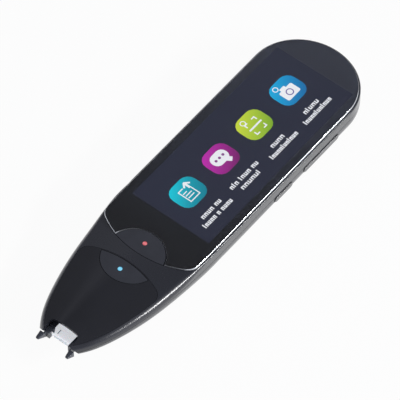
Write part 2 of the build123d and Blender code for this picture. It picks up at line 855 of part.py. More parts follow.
def prong(side):
    """Tapered prong in front of one arm of the tip bracket."""
    with BuildPart() as horn:
        with BuildSketch(Plane.XY):
            with BuildLine():
                Polyline(
                    (arm_front_x, side * prong_root_inner),
                    (tip_x, side * prong_tip_inner),
                    (tip_x, side * prong_tip_outer),
                    (prong_root_x, side * prong_root_outer),
                    (prong_root_x, side * arm_outer),
                    (arm_front_x, side * arm_outer),
                    close=True,
                )
            make_face()
        extrude(amount=pen_thickness)
        with BuildSketch(Plane.XZ.offset(-half_width)) as profile:
            with BuildLine():
                Polyline(
                    (arm_front_x, prong_root_low),
                    (tip_x, prong_tip_low),
                    (tip_x, prong_tip_top),
                    (arm_front_x, prong_root_top),
                    close=True,
                )
            make_face()
        extrude(amount=pen_width, mode=Mode.INTERSECT)
        tip_edges = horn.faces().sort_by(Axis.X)[0].edges()
        long_edges = horn.edges().filter_by(lambda edge: edge.bounding_box().size.X > prong_reach / 2)
        fillet(tip_edges + long_edges, radius=prong_round)
    return horn.part


with BuildPart() as tip_bracket:
    for side in (-1, 1):
        y0, y1 = sorted((side * arm_inner, side * arm_outer))
        with BuildSketch(Plane.XZ.offset(-y1)):
            with BuildLine():
                Polyline(
                    (arm_front_x, prong_root_low),
                    (arm_front_x, prong_root_top),
                    (guide_front_x, arm_top),
                    (crossbar_rear_x, arm_top),
                    (crossbar_rear_x, arm_rear_low),
                    (mouth_back_x - tip_travel - slide_gap, arm_rear_low),
                    (mouth_back_x - tip_travel - slide_gap, arm_low),
                    close=True,
                )
            make_face()
        extrude(amount=y1 - y0)
        add(prong(side))
    add(rounded_box(crossbar_front_x, crossbar_rear_x, -arm_outer, arm_outer, arm_rear_low, guide_rear_top))
    add(rounded_box(crossbar_front_x - cut_overrun / 2, crossbar_rear_x + cut_overrun / 2, -crossbar_window_width / 2,
                    crossbar_window_width / 2, optics_height - crossbar_window_height / 2,
                    optics_height + crossbar_window_height / 2), mode=Mode.SUBTRACT)
    with BuildSketch(Plane.XY.offset(guide_top)):
        with BuildLine():
            Polyline(
                (guide_front_x, arm_outer),
                (guide_front_x, arm_inner - web_reach),
                (guide_front_x + web_length, arm_inner),
                (guide_front_x + web_length, arm_outer),
                close=True,
            )
        make_face()
    extrude(amount=web_thickness)
    add(rounded_box(crossbar_rear_x, crossbar_rear_x + rod_length, rod_offset - rod_thickness / 2,
                    rod_offset + rod_thickness / 2, optics_height - rod_thickness / 2, optics_height + rod_thickness / 2))
    with BuildSketch(Plane.YZ.offset(crossbar_rear_x)):
        with Locations((-rod_offset, optics_height)):
            Circle(spring_pin_width / 2)
    extrude(amount=spring_pin_length)

with BuildPart() as light_guide:
    with BuildSketch(Plane.XZ.offset(-guide_width / 2)):
        with BuildLine():
            Polyline(
                (guide_front_x + guide_front_round, guide_low),
                (guide_front_x, guide_low + guide_front_round),
                (guide_front_x, guide_top),
                (guide_front_x + guide_rise_place, guide_top),
                (guide_front_x + guide_rise_place, guide_rear_top),
                (guide_rear_x, guide_rear_top),
                (guide_rear_x, guide_rear_low),
                (mouth_back_x - tip_travel - slide_gap, guide_rear_low),
                (mouth_back_x - tip_travel - slide_gap, guide_low),
                close=True,
            )
        make_face()
    extrude(amount=guide_width)
    top_edge = light_guide.edges().filter_by(Axis.Y).group_by(Axis.X)[0].sort_by(Axis.Z)[-1]
    fillet(top_edge, radius=guide_front_round)
    add(rounded_box(guide_front_x - cut_overrun, guide_front_x + window_pane_thickness, -window_pane_width / 2,
                    window_pane_width / 2, guide_low + guide_front_round,
                    guide_low + guide_front_round + window_pane_height), mode=Mode.SUBTRACT)
    add(rounded_box(guide_front_x + guide_front_round, guide_front_x + guide_front_round + guide_mark_length,
                    guide_mark_offset - guide_mark_width / 2, guide_mark_offset + guide_mark_width / 2,
                    guide_top - guide_mark_depth, guide_top), mode=Mode.SUBTRACT)
with BuildPart() as scan_window:
    add(rounded_box(guide_front_x, guide_front_x + window_pane_thickness - bore_gap,
                    bore_gap - window_pane_width / 2, window_pane_width / 2 - bore_gap,
                    guide_low + guide_front_round + bore_gap,
                    guide_low + guide_front_round + window_pane_height - bore_gap))

# Camera behind the light guide
with BuildPart() as lens_holder:
    add(rounded_box(holder_front_x, holder_rear_x, -holder_width / 2, holder_width / 2, holder_low, holder_top))
    add(rounded_box(holder_front_x, holder_front_x + holder_wing_thickness, -holder_width / 2 - holder_wing_reach,
                    0, holder_low, holder_top))
    with BuildSketch(Plane.YZ.offset(holder_front_x - cut_overrun)):
        with Locations((0, optics_height)):
            Circle(barrel_width / 2 + bore_gap)
    extrude(amount=holder_length + 2 * cut_overrun, mode=Mode.SUBTRACT)
barrel_rear_x = holder_rear_x - bore_gap
barrel_front_x = barrel_rear_x - barrel_length
with BuildPart() as lens_barrel:
    with BuildSketch(Plane.YZ.offset(barrel_front_x)):
        with Locations((0, optics_height)):
            Circle(barrel_width / 2)
            Circle(barrel_width / 2 - barrel_wall, mode=Mode.SUBTRACT)
    extrude(amount=barrel_length)
with BuildPart() as lens_glass:
    with BuildSketch(Plane.YZ.offset(barrel_front_x + barrel_wall)):
        with Locations((0, optics_height)):
            Circle(barrel_width / 2 - barrel_wall - bore_gap)
    extrude(amount=lens_thickness)
with BuildPart() as image_sensor:
    add(rounded_box(holder_rear_x, holder_rear_x + sensor_thickness, -sensor_width / 2, sensor_width / 2,
                    optics_height - sensor_height / 2, optics_height + sensor_height / 2))
camera_board_x = holder_rear_x + sensor_thickness
with BuildPart() as camera_board:
    add(rounded_box(camera_board_x, camera_board_x + camera_board_thickness, -camera_board_width / 2,
                    camera_board_width / 2, camera_board_low, camera_board_top))
led_board_x = holder_front_x - led_board_thickness
with BuildPart() as tip_led_board:
    add(rounded_box(led_board_x, holder_front_x, -led_board_width / 2, led_board_width / 2, holder_low, holder_top))
    with BuildSketch(Plane.YZ.offset(led_board_x - cut_overrun)):
        with Locations((0, optics_height)):
            Circle(led_board_hole / 2)
    extrude(amount=2 * cut_overrun, mode=Mode.SUBTRACT)
with BuildPart() as tip_leds:
    for y in (-tip_led_offset, tip_led_offset):
        add(rounded_box(led_board_x - tip_led_thickness, led_board_x, y - tip_led_size / 2, y + tip_led_size / 2,
                        optics_height - tip_led_size / 2, optics_height + tip_led_size / 2))

# Tip switch, its plunger and the return spring
plunger_front_x = crossbar_rear_x + rod_length
tip_switch_x = plunger_front_x + tip_plunger_reach
with BuildPart() as tip_switch:
    add(rounded_box(tip_switch_x, camera_board_x, rod_offset - tip_switch_width / 2,
                    rod_offset + tip_switch_width / 2, optics_height - tip_switch_height / 2,
                    optics_height + tip_switch_height / 2))
    with BuildSketch(Plane.YZ.offset(tip_switch_x)):
        with Locations((rod_offset, optics_height)):
            Circle(tip_plunger_width / 2 + slide_gap)
    extrude(amount=tip_plunger_depth + tip_travel / 2 + slide_gap, mode=Mode.SUBTRACT)
with BuildPart() as tip_switch_plunger:
    with BuildSketch(Plane.YZ.offset(plunger_front_x)):
        with Locations((rod_offset, optics_height)):
            Circle(tip_plunger_width / 2)
    extrude(amount=tip_plunger_reach + tip_plunger_depth - tip_travel / 2)
spring_length = holder_front_x - crossbar_rear_x - 2 * bore_gap
spring_radius = (spring_outer - spring_wire) / 2
spring_pitch = (spring_length - spring_wire) / spring_turns
with BuildPart() as tip_spring:
    with BuildLine():
        coil = Helix(spring_pitch, spring_length - spring_wire, spring_radius,
                     center=(crossbar_rear_x + bore_gap + spring_wire / 2, -rod_offset, optics_height), direction=(1, 0, 0))
    with BuildSketch(Plane(origin=coil @ 0, z_dir=coil % 0)):
        Circle(spring_wire / 2)
    sweep(path=coil)
print("tip spring gap between turns", round(spring_pitch - spring_wire, 2))

# Main board with its chips, shields, connectors and aerial
with BuildPart() as main_board:
    add(rounded_box(main_board_front_x, main_board_tail_x, -main_board_width / 2, main_board_width / 2,
                    main_board_height, main_board_top, board_corner))


def shield(x, y, size):
    """Sheet metal can, open towards the board."""
    with BuildPart() as can:
        add(rounded_box(x - size / 2, x + size / 2, y - size / 2, y + size / 2,
                        main_board_top, main_board_top + shield_thickness))
        inner = size / 2 - shield_wall
        add(rounded_box(x - inner, x + inner, y - inner, y + inner, 0,
                        main_board_top + shield_thickness - shield_wall), mode=Mode.SUBTRACT)
    return can.part


def chip(x, y, size):
    """Flat square chip on the board."""
    half = size / 2 - chip_margin
    return rounded_box(x - half, x + half, y - half, y + half, main_board_top, main_board_top + chip_thickness)


shield_x = main_board_tail_x - processor_shield_size / 2 - shield_gap
processor_y = processor_shield_size / 2 + shield_gap / 2
radio_y = -radio_shield_size / 2 - shield_gap / 2
with BuildPart() as processor_shield:
    add(shield(shield_x, processor_y, processor_shield_size))
with BuildPart() as radio_shield:
    add(shield(shield_x, radio_y, radio_shield_size))
with BuildPart() as processor_chip:
    add(chip(shield_x, processor_y, processor_shield_size))
with BuildPart() as radio_chip:
    add(chip(shield_x, radio_y, radio_shield_size))
key_connector_x = main_board_front_x + ribbon_air
display_connector_x = panel_front_x + connector_gap
usb_connector_x = main_board_tail_x - connector_length - connector_gap
key_connector_y = -connector_width - shield_gap
usb_connector_y = -connector_width / 2
with BuildPart() as board_connectors:
    for x, y, width in [
        (key_connector_x, key_connector_y, connector_width),
        (display_connector_x, 0, connector_width),
        (usb_connector_x, usb_connector_y, ribbon_width),
    ]:
        add(rounded_box(x, x + connector_length, y - width / 2, y + width / 2,
                        main_board_top, main_board_top + connector_thickness))
with BuildPart() as wifi_antenna:
    add(rounded_box(belly_x, belly_x + antenna_length, -antenna_width / 2, antenna_width / 2,
                    floor_wall, floor_wall + antenna_thickness))

# Battery
battery_top = battery_low + battery_thickness
with BuildPart() as battery:
    add(rounded_box(battery_front_x, battery_tail_x, battery_offset - battery_width / 2,
                    battery_offset + battery_width / 2, battery_low, battery_top))
    fillet(battery.edges().filter_by(Axis.X), radius=battery_round)
with BuildPart() as battery_tape:
    add(rounded_box(battery_front_x + tape_margin, battery_tail_x - tape_margin,
                    battery_offset - battery_width / 2 + tape_margin, battery_offset + battery_width / 2 - tape_margin,
                    floor_wall, battery_low))
with BuildPart() as battery_tab:
    add(rounded_box(battery_front_x - tab_length, battery_front_x, -tab_width / 2, tab_width / 2,
                    battery_low + battery_round, battery_low + battery_round + tab_height))

# Speaker with its dust mesh
with BuildPart() as speaker_mesh:
    add(rounded_box(speaker_front_x + mesh_margin, speaker_front_x + speaker_length - mesh_margin,
                    mesh_margin - speaker_width / 2, speaker_width / 2 - mesh_margin,
                    floor_wall, floor_wall + mesh_thickness))
with BuildPart() as speaker:
    add(rounded_box(speaker_front_x, speaker_front_x + speaker_length, -speaker_width / 2, speaker_width / 2,
                    floor_wall + mesh_thickness, floor_wall + mesh_thickness + speaker_thickness, board_corner))

# Charging socket on its board
with BuildPart() as usb_board:
    add(rounded_box(usb_board_tail_x - usb_board_length, usb_board_tail_x, -usb_board_width / 2, usb_board_width / 2,
                    usb_board_height, usb_low))
with BuildPart() as usb_shell:
    with BuildSketch(Plane.YZ.offset(usb_front_x)):
        with Locations((0, usb_middle)):
            RectangleRounded(usb_width, usb_thickness, usb_corner)
    extrude(amount=usb_length)
    with BuildSketch(Plane.YZ.offset(usb_front_x + usb_wall)):
        with Locations((0, usb_middle)):
            RectangleRounded(usb_width - 2 * usb_wall, usb_thickness - 2 * usb_wall, usb_corner - usb_wall)
    extrude(amount=usb_length, mode=Mode.SUBTRACT)
with BuildPart() as usb_tongue:
    add(rounded_box(usb_front_x + usb_wall, usb_front_x + usb_wall + usb_tongue_length, -usb_tongue_width / 2,
                    usb_tongue_width / 2, usb_middle - usb_tongue_thickness / 2, usb_middle + usb_tongue_thickness / 2))
with BuildPart() as microphone:
    add(rounded_box(usb_board_tail_x - microphone_length, usb_board_tail_x, microphone_offset - microphone_width / 2,
                    microphone_offset + microphone_width / 2, usb_low, usb_low + microphone_thickness))


def ribbon(points, y0, y1):
    """Flat cable between y0 and y1 that follows points in side view."""
    with BuildPart() as cable:
        with BuildSketch(Plane.XZ.offset(-y1)):
            with BuildLine():
                FilletPolyline(*points, radius=ribbon_bend)
            trace(line_width=ribbon_thickness)
        extrude(amount=y1 - y0)
    return cable.part


ribbon_half = ribbon_thickness / 2
display_ribbon_top = backlight_bottom + ribbon_thickness
display_ribbon_low = main_board_top + connector_thickness / 2
with BuildPart() as display_flex:
    add(ribbon([
        (panel_front_x, display_ribbon_top),
        (panel_front_x - ribbon_air, display_ribbon_top),
        (panel_front_x - ribbon_air, display_ribbon_low),
        (display_connector_x, display_ribbon_low),
    ], -ribbon_width / 2, ribbon_width / 2))
with BuildPart() as camera_flex:
    add(rounded_box(camera_board_x + camera_board_thickness, main_board_front_x + connector_length, -ribbon_width / 2,
                    ribbon_width / 2, main_board_height - ribbon_thickness, main_board_height))
with BuildPart() as key_flex:
    add(rounded_box(key_board_rear_x, key_connector_x, key_connector_y - ribbon_width / 2,
                    key_connector_y + ribbon_width / 2, main_board_top, main_board_top + ribbon_thickness))
battery_ribbon = battery_top + ribbon_half
usb_ribbon_x = usb_board_tail_x - usb_board_length
with BuildPart() as usb_flex:
    add(ribbon([
        (usb_ribbon_x + ribbon_air, usb_low + ribbon_half),
        (usb_ribbon_x - ribbon_air, usb_low + ribbon_half),
        (usb_ribbon_x - ribbon_air, battery_ribbon),
        (usb_connector_x + connector_length, battery_ribbon),
    ], usb_connector_y - ribbon_width / 4, usb_connector_y + ribbon_width / 4))

# Screws that hold the two shells together
with BuildPart() as housing_screws:
    for (x, y), low in zip(screw_places, screw_head_low):
        with BuildSketch(Plane.XY.offset(low)):
            with Locations((x, y)):
                Circle(screw_head_width / 2)
        extrude(amount=screw_head_thickness)
        with BuildSketch(Plane.XY.offset(low)):
            with Locations((x, y)):
                Circle(screw_width / 2)
        extrude(amount=screw_length + screw_head_thickness)
        with BuildSketch(Plane.XY.offset(low)):
            with Locations((x, y)):
                Rectangle(screw_head_width - 2 * screw_slot_width, screw_slot_width)
                Rectangle(screw_slot_width, screw_head_width - 2 * screw_slot_width)
        extrude(amount=screw_slot_depth, mode=Mode.SUBTRACT)

pieces = {
    "lower_housing": lower_housing,
    "upper_housing": upper_housing,
    "nose_cover": nose_cover,
    "display_glass": display_glass,
    "display_gasket": display_gasket,
    "lcd_panel": lcd_panel,
    "backlight_unit": backlight_unit,
    "display_plate": display_plate,
    "ok_button": ok_button,
    "ok_light_pipe": ok_light_pipe,
    "ok_switch_plunger": ok_switch_plunger,
    "back_button": back_button,
    "back_light_pipe": back_light_pipe,
    "back_switch_plunger": back_switch_plunger,
    "key_board": key_board,
    "key_switches": key_switches,
    "status_leds": status_leds,
    "power_button": power_button,
    "power_switch_plunger": power_switch_plunger,
    "volume_rocker": volume_rocker,
    "volume_switch_plungers": volume_switch_plungers,
    "side_switches": side_switches,
    "side_key_board": side_key_board,
    "tip_bracket": tip_bracket,
    "light_guide": light_guide,
    "scan_window": scan_window,
    "tip_switch": tip_switch,
    "tip_switch_plunger": tip_switch_plunger,
    "tip_spring": tip_spring,
    "lens_holder": lens_holder,
    "lens_barrel": lens_barrel,
    "lens_glass": lens_glass,
    "image_sensor": image_sensor,
    "camera_board": camera_board,
    "tip_led_board": tip_led_board,
    "tip_leds": tip_leds,
    "main_board": main_board,
    "processor_shield": processor_shield,
    "radio_shield": radio_shield,
    "processor_chip": processor_chip,
    "radio_chip": radio_chip,
    "board_connectors": board_connectors,
    "wifi_antenna": wifi_antenna,
    "battery": battery,
    "battery_tape": battery_tape,
    "battery_tab": battery_tab,
    "speaker": speaker,
    "speaker_mesh": speaker_mesh,
    "usb_board": usb_board,
    "usb_shell": usb_shell,
    "usb_tongue": usb_tongue,
    "microphone": microphone,
    "display_flex": display_flex,
    "camera_flex": camera_flex,
    "key_flex": key_flex,
    "usb_flex": usb_flex,
    "housing_screws": housing_screws,
}
for name, piece in pieces.items():
    piece.part.label = name
    export_step(piece.part, f"parts/{name}.step")
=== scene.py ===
import bpy, bmesh, math
from mathutils import Matrix, Vector


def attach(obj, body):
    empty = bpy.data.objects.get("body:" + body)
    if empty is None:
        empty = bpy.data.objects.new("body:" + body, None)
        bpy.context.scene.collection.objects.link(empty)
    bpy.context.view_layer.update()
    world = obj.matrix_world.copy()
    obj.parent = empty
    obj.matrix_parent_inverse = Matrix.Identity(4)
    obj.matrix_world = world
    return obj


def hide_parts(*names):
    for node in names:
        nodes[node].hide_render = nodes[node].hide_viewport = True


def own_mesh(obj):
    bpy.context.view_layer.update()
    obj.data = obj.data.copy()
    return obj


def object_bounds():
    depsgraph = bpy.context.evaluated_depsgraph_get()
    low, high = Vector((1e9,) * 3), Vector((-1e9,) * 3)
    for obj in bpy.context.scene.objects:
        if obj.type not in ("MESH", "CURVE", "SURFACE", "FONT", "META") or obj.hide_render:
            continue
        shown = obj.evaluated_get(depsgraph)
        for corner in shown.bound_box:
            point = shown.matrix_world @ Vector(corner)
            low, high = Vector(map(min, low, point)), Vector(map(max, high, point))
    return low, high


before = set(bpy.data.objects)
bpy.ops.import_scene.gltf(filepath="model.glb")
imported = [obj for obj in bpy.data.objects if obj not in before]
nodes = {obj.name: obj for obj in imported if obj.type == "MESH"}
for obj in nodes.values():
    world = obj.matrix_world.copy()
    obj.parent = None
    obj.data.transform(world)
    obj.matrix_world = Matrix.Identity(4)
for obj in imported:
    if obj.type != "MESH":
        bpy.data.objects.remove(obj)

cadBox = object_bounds()
mm = 0.001
print("frame loaded,", len(nodes), "nodes")

# camera, at the angle of the photograph
shot = {
    "target": (-2.65, -3.4, 12.0),   # mm, middle of the picture
    "right": (0.6225, -0.7826, 0.0),
    "up": (0.6363, 0.5062, 0.5821),
    "back": (-0.4556, -0.3624, 0.8131),
    "distance": 1500.0,   # mm
    "lens": 388.1, "sensor": 36,
    "clipEnd": 20,   # metres
}
cameraData = bpy.data.cameras.new("photoCamera")
cameraData.lens = shot["lens"]
cameraData.sensor_width = shot["sensor"]
cameraData.clip_end = shot["clipEnd"]
camera = bpy.data.objects.new("photoCamera", cameraData)
bpy.context.scene.collection.objects.link(camera)
turn = Matrix((shot["right"], shot["up"], shot["back"])).transposed().to_4x4()
place = (Vector(shot["target"]) + Vector(shot["back"]) * shot["distance"]) * mm
camera.matrix_world = Matrix.Translation(place) @ turn
bpy.context.scene.camera = camera
print("camera set")


def linear(colour):   # "#rrggbb" in sRGB to a linear colour with alpha
    parts = [int(colour[i:i + 2], 16) / 255 for i in (1, 3, 5)]
    return [p / 12.92 if p <= 0.04045 else ((p + 0.055) / 1.055) ** 2.4 for p in parts] + [1.0]


def addNode(tree, kind, settings=None, links=None):
    # settings give values to sockets or properties, links join sockets to outputs of other nodes
    node = tree.nodes.new(kind)
    for name, value in (settings or {}).items():
        if isinstance(name, int) or name in node.inputs:
            node.inputs[name].default_value = value
        else:
            setattr(node, name, value)
    for name, source in (links or {}).items():
        tree.links.new(source, node.inputs[name])
    return node


def setRamp(node, stops):   # stops: places from 0 to 1, each with its colour
    elements = node.color_ramp.elements
    for place, colour in stops[2:]:
        elements.new(place)
    for stop, (place, colour) in enumerate(stops):
        elements[stop].position = place
        elements[stop].color = colour


def startMaterial(name, settings):   # a tree with its shader wired to the output
    material = bpy.data.materials.new(name)
    material.use_nodes = True
    tree = material.node_tree
    tree.nodes.clear()
    shader = addNode(tree, "ShaderNodeBsdfPrincipled", settings)
    addNode(tree, "ShaderNodeOutputMaterial", links={"Surface": shader.outputs["BSDF"]})
    return material, tree, shader


def stretchedPlace(tree, where, look):   # object coordinates, stretched where the look says so
    stretch = addNode(tree, "ShaderNodeMapping", {"Scale": look.get("stretch", (1, 1, 1))},
                      {"Vector": where.outputs["Object"]})
    return stretch.outputs["Vector"]


def addRelief(tree, shader, look, height):   # a bump as deep as the look says
    relief = addNode(tree, "ShaderNodeBump", {"Strength": look["relief"], "Distance": look["depthMm"] * mm},
                     {"Height": height})
    tree.links.new(relief.outputs["Normal"], shader.inputs["Normal"])


cloudStops = (0.3, 0.7)   # noise values where a cloudy colour is darkest and lightest
lineCore = 0.6            # share of a line's width that has its full colour
pixelNoise = 0.04         # how far the pixels of a lit picture stray along its colours
colourMix = {"factor": 0, "first": 6, "second": 7, "result": 2}   # sockets of a mix node that mixes colours


def grainedFinish(name, look, settings):   # moulded, coated or drawn skin: cloudy colour, fine grain in gloss
    material, tree, shader = startMaterial(name, settings)
    where = addNode(tree, "ShaderNodeTexCoord")
    place = stretchedPlace(tree, where, look)
    cloud = addNode(tree, "ShaderNodeTexNoise", {"Scale": 1000 / look["cloudMm"], "Detail": 3.0}, {"Vector": place})
    tint = addNode(tree, "ShaderNodeValToRGB", links={"Fac": cloud.outputs["Fac"]})
    setRamp(tint, list(zip(cloudStops, (linear(look["dark"]), linear(look["light"])))))
    colour = tint.outputs["Color"]
    if "paintedSheen" in look:   # painted sheen: the colour runs over to another one along the pen, standing in for a reflection
        along = addNode(tree, "ShaderNodeSeparateXYZ", links={"Vector": where.outputs["Object"]})
        run = addNode(tree, "ShaderNodeMapRange", {"From Min": look["from"] * mm, "From Max": look["to"] * mm},
                      {"Value": along.outputs["X"]})
        both = addNode(tree, "ShaderNodeMix", {"data_type": "RGBA", colourMix["second"]: linear(look["paintedSheen"])},
                       {colourMix["factor"]: run.outputs["Result"], colourMix["first"]: colour})
        colour = both.outputs[colourMix["result"]]
    tree.links.new(colour, shader.inputs["Base Color"])
    grain = addNode(tree, "ShaderNodeTexNoise", {"Scale": 1000 / look["grainMm"], "Detail": 2.0}, {"Vector": place})
    gloss = addNode(tree, "ShaderNodeMapRange", {"To Min": look["roughLow"], "To Max": look["roughHigh"]},
                    {"Value": grain.outputs["Fac"]})
    tree.links.new(gloss.outputs["Result"], shader.inputs["Roughness"])
    addRelief(tree, shader, look, grain.outputs["Fac"])
    return material


def cellFinish(name, look, settings):   # printed boards, meshes and laid films: cells with lines between them
    material, tree, shader = startMaterial(name, settings)
    place = stretchedPlace(tree, addNode(tree, "ShaderNodeTexCoord"), look)
    cells = addNode(tree, "ShaderNodeTexVoronoi", {
        "feature": "DISTANCE_TO_EDGE", "Scale": 1000 / look["cellMm"], "Randomness": look["random"],
    }, {"Vector": place})
    line = addNode(tree, "ShaderNodeValToRGB", links={"Fac": cells.outputs["Distance"]})
    setRamp(line, [(look["lineShare"] * lineCore, linear(look["line"])), (look["lineShare"], linear(look["field"]))])
    tree.links.new(line.outputs["Color"], shader.inputs["Base Color"])
    gloss = addNode(tree, "ShaderNodeMapRange", {
        "From Max": look["lineShare"], "To Min": look["roughLow"], "To Max": look["roughHigh"],
    }, {"Value": cells.outputs["Distance"]})
    tree.links.new(gloss.outputs["Result"], shader.inputs["Roughness"])
    addRelief(tree, shader, look, gloss.outputs["Result"])
    return material


def litFinish(name, look):   # a lit part of a picture: its colours run along one line, with a little noise
    material, tree, shader = startMaterial(name, {
        "Base Color": linear("#050506"), "Roughness": 0.6, "Emission Strength": look["strength"],
    })
    where = addNode(tree, "ShaderNodeTexCoord")
    along = addNode(tree, "ShaderNodeVectorMath", {"operation": "DOT_PRODUCT", 1: look["along"]},
                    {0: where.outputs["Object"]})
    run = addNode(tree, "ShaderNodeMapRange", {"From Min": look["from"] * mm, "From Max": look["to"] * mm},
                  {"Value": along.outputs["Value"]})
    pixels = addNode(tree, "ShaderNodeTexNoise", {"Scale": 1000 / look["grainMm"], "Detail": 1.0},
                     {"Vector": where.outputs["Object"]})
    stray = addNode(tree, "ShaderNodeMapRange", {"To Min": -pixelNoise, "To Max": pixelNoise},
                    {"Value": pixels.outputs["Fac"]})
    total = addNode(tree, "ShaderNodeMath", {"operation": "ADD", "use_clamp": True},
                    {0: run.outputs["Result"], 1: stray.outputs["Result"]})
    tint = addNode(tree, "ShaderNodeValToRGB", links={"Fac": total.outputs["Value"]})
    last = len(look["colours"]) - 1
    setRamp(tint, [(stop / last, linear(colour)) for stop, colour in enumerate(look["colours"])])
    tree.links.new(tint.outputs["Color"], shader.inputs["Emission Color"])
    return material


# moulded ABS with a satin lacquer: dark slate that turns grey where it faces the table
shellPlastic = grainedFinish("satinLacqueredAbs", {
    "dark": "#262830", "light": "#2a2c34", "cloudMm": 14.0, "grainMm": 0.5,
    "roughLow": 0.26, "roughHigh": 0.29, "relief": 0.02, "depthMm": 0.01,
}, {"IOR": 1.53, "Coat Weight": 0.65, "Coat IOR": 1.5, "Coat Roughness": 0.2})
# polished ABS, moulded against a mirror tool: near black, with sharp reflections
glossCover = grainedFinish("polishedBlackAbs", {
    "dark": "#26272c", "light": "#2a2b31", "cloudMm": 20.0, "grainMm": 1.2,
    "roughLow": 0.08, "roughHigh": 0.12, "relief": 0.03, "depthMm": 0.01,
}, {"IOR": 1.5})
# ABS keys moulded in a spark-eroded tool: a shade lighter and softer than the cover
keyPlastic = grainedFinish("sparkErodedKeyAbs", {
    "dark": "#393b42", "light": "#3e4048", "cloudMm": 5.0, "grainMm": 0.25,
    "roughLow": 0.25, "roughHigh": 0.35, "relief": 0.12, "depthMm": 0.01,
}, {"IOR": 1.52})
# side keys, moulded in the housing's colour and lacquered to a higher gloss
sideKeyPlastic = grainedFinish("glossLacqueredKeyAbs", {
    "dark": "#26282d", "light": "#2c2e33", "cloudMm": 4.0, "grainMm": 0.3,
    "roughLow": 0.2, "roughHigh": 0.28, "relief": 0.08, "depthMm": 0.006,
}, {"IOR": 1.52, "Coat Weight": 1.0, "Coat Roughness": 0.05})
# float glass, ground and polished: clear on its face, while its steep edge turns the light back like a mirror
coverGlass = grainedFinish("polishedCoverGlass", {
    "dark": "#e4e8ee", "light": "#eceff4", "cloudMm": 30.0, "grainMm": 12.0,
    "roughLow": 0.0, "roughHigh": 0.01, "relief": 0.02, "depthMm": 0.01,
}, {"IOR": 1.52})
glassEdge = {
    "flat": 0.8, "steep": 0.6,   # upward part of the surface direction where the edge starts and where it is full
    "rough": 0.35,
    "side": 21.0,                # mm, half the width across which the next line gives places
    "polish": ((0.05, 1.0), (0.09, 0.15), (0.74, 0.15), (0.78, 1.0)),   # place from 0 to 1, how mirror-like it is
}
tree = coverGlass.node_tree
shader = [n for n in tree.nodes if n.bl_idname == "ShaderNodeBsdfPrincipled"][0]
where = addNode(tree, "ShaderNodeTexCoord")
facing = addNode(tree, "ShaderNodeSeparateXYZ", links={"Vector": where.outputs["Normal"]})
upward = addNode(tree, "ShaderNodeMath", {"operation": "ABSOLUTE"}, {0: facing.outputs["Z"]})
steep = addNode(tree, "ShaderNodeMapRange", {"From Min": glassEdge["flat"], "From Max": glassEdge["steep"]},
                {"Value": upward.outputs[0]})
spot = addNode(tree, "ShaderNodeSeparateXYZ", links={"Vector": where.outputs["Object"]})
across = addNode(tree, "ShaderNodeMapRange", {
    "From Min": -glassEdge["side"] * mm, "From Max": glassEdge["side"] * mm,
}, {"Value": spot.outputs["Y"]})
polish = addNode(tree, "ShaderNodeValToRGB", links={"Fac": across.outputs["Result"]})
setRamp(polish, [(place, (shine, shine, shine, 1)) for place, shine in glassEdge["polish"]])
mirror = addNode(tree, "ShaderNodeMath", {"operation": "MULTIPLY"},
                 {0: steep.outputs["Result"], 1: polish.outputs["Color"]})
clear = addNode(tree, "ShaderNodeMapRange", {"To Min": 1.0, "To Max": 0.0}, {"Value": mirror.outputs[0]})
rough = addNode(tree, "ShaderNodeMapRange", {"To Max": glassEdge["rough"]}, {"Value": steep.outputs["Result"]})
tree.links.new(rough.outputs["Result"], shader.inputs["Roughness"])
tree.links.new(clear.outputs["Result"], shader.inputs["Transmission Weight"])
tree.links.new(mirror.outputs[0], shader.inputs["Metallic"])
# smoked polycarbonate, injection moulded: dark, but light gets through its thin ends
smokePlastic = grainedFinish("smokedPolycarbonate", {
    "dark": "#4a4e57", "light": "#565a64", "cloudMm": 3.0, "grainMm": 0.3,
    "roughLow": 0.12, "roughHigh": 0.22, "relief": 0.1, "depthMm": 0.008,
}, {"IOR": 1.58, "Transmission Weight": 0.25})
# opal acrylic light guide: milky white, with a painted glow that lightens it where it sits in shade in the notch
opalGuidePaintedGlow = grainedFinish("opalAcrylicPaintedGlow", {
    "dark": "#dfe2e6", "light": "#eef0f2", "cloudMm": 2.5, "grainMm": 0.2,
    "roughLow": 0.28, "roughHigh": 0.4, "relief": 0.12, "depthMm": 0.008,
}, {"IOR": 1.49, "Subsurface Weight": 0.3, "Subsurface Scale": 0.001,
    # painted glow: the emission lightens the guide in place of the light it lacks
    "Emission Color": linear("#f2f4f8"), "Emission Strength": 0.55})
# acrylic pane, laser cut and polished: clear
clearPane = grainedFinish("clearAcrylicPane", {
    "dark": "#dfe6ea", "light": "#eef2f4", "cloudMm": 3.0, "grainMm": 0.4,
    "roughLow": 0.02, "roughHigh": 0.06, "relief": 0.05, "depthMm": 0.005,
}, {"IOR": 1.49, "Transmission Weight": 0.9})
# tinted acrylic light pipes, moulded: they glow at their tops when the lamps below are on
bluePipe = litFinish("blueLitAcrylic", {
    "along": (1, 0, 0), "from": -43.6, "to": -41.5, "grainMm": 0.5,
    "colours": ("#5fc4f0", "#8fe0ff", "#5fc4f0"), "strength": 0.95,
})
redPipe = litFinish("redLitAcrylic", {
    "along": (1, 0, 0), "from": -30.0, "to": -27.9, "grainMm": 0.5,
    "colours": ("#c83a48", "#f08a90", "#c83a48"), "strength": 0.9,
})
print("outer finishes ready")

# fibreglass board with etched copper under green mask: fine paler lines over deep green
circuitBoard = cellFinish("etchedSolderMaskBoard", {
    "cellMm": 0.9, "random": 0.55, "lineShare": 0.09, "line": "#2f7d52", "field": "#0f3d27",
    "roughLow": 0.35, "roughHigh": 0.5, "relief": 0.3, "depthMm": 0.02,
}, {"IOR": 1.55, "Coat Weight": 0.3, "Coat Roughness": 0.2})
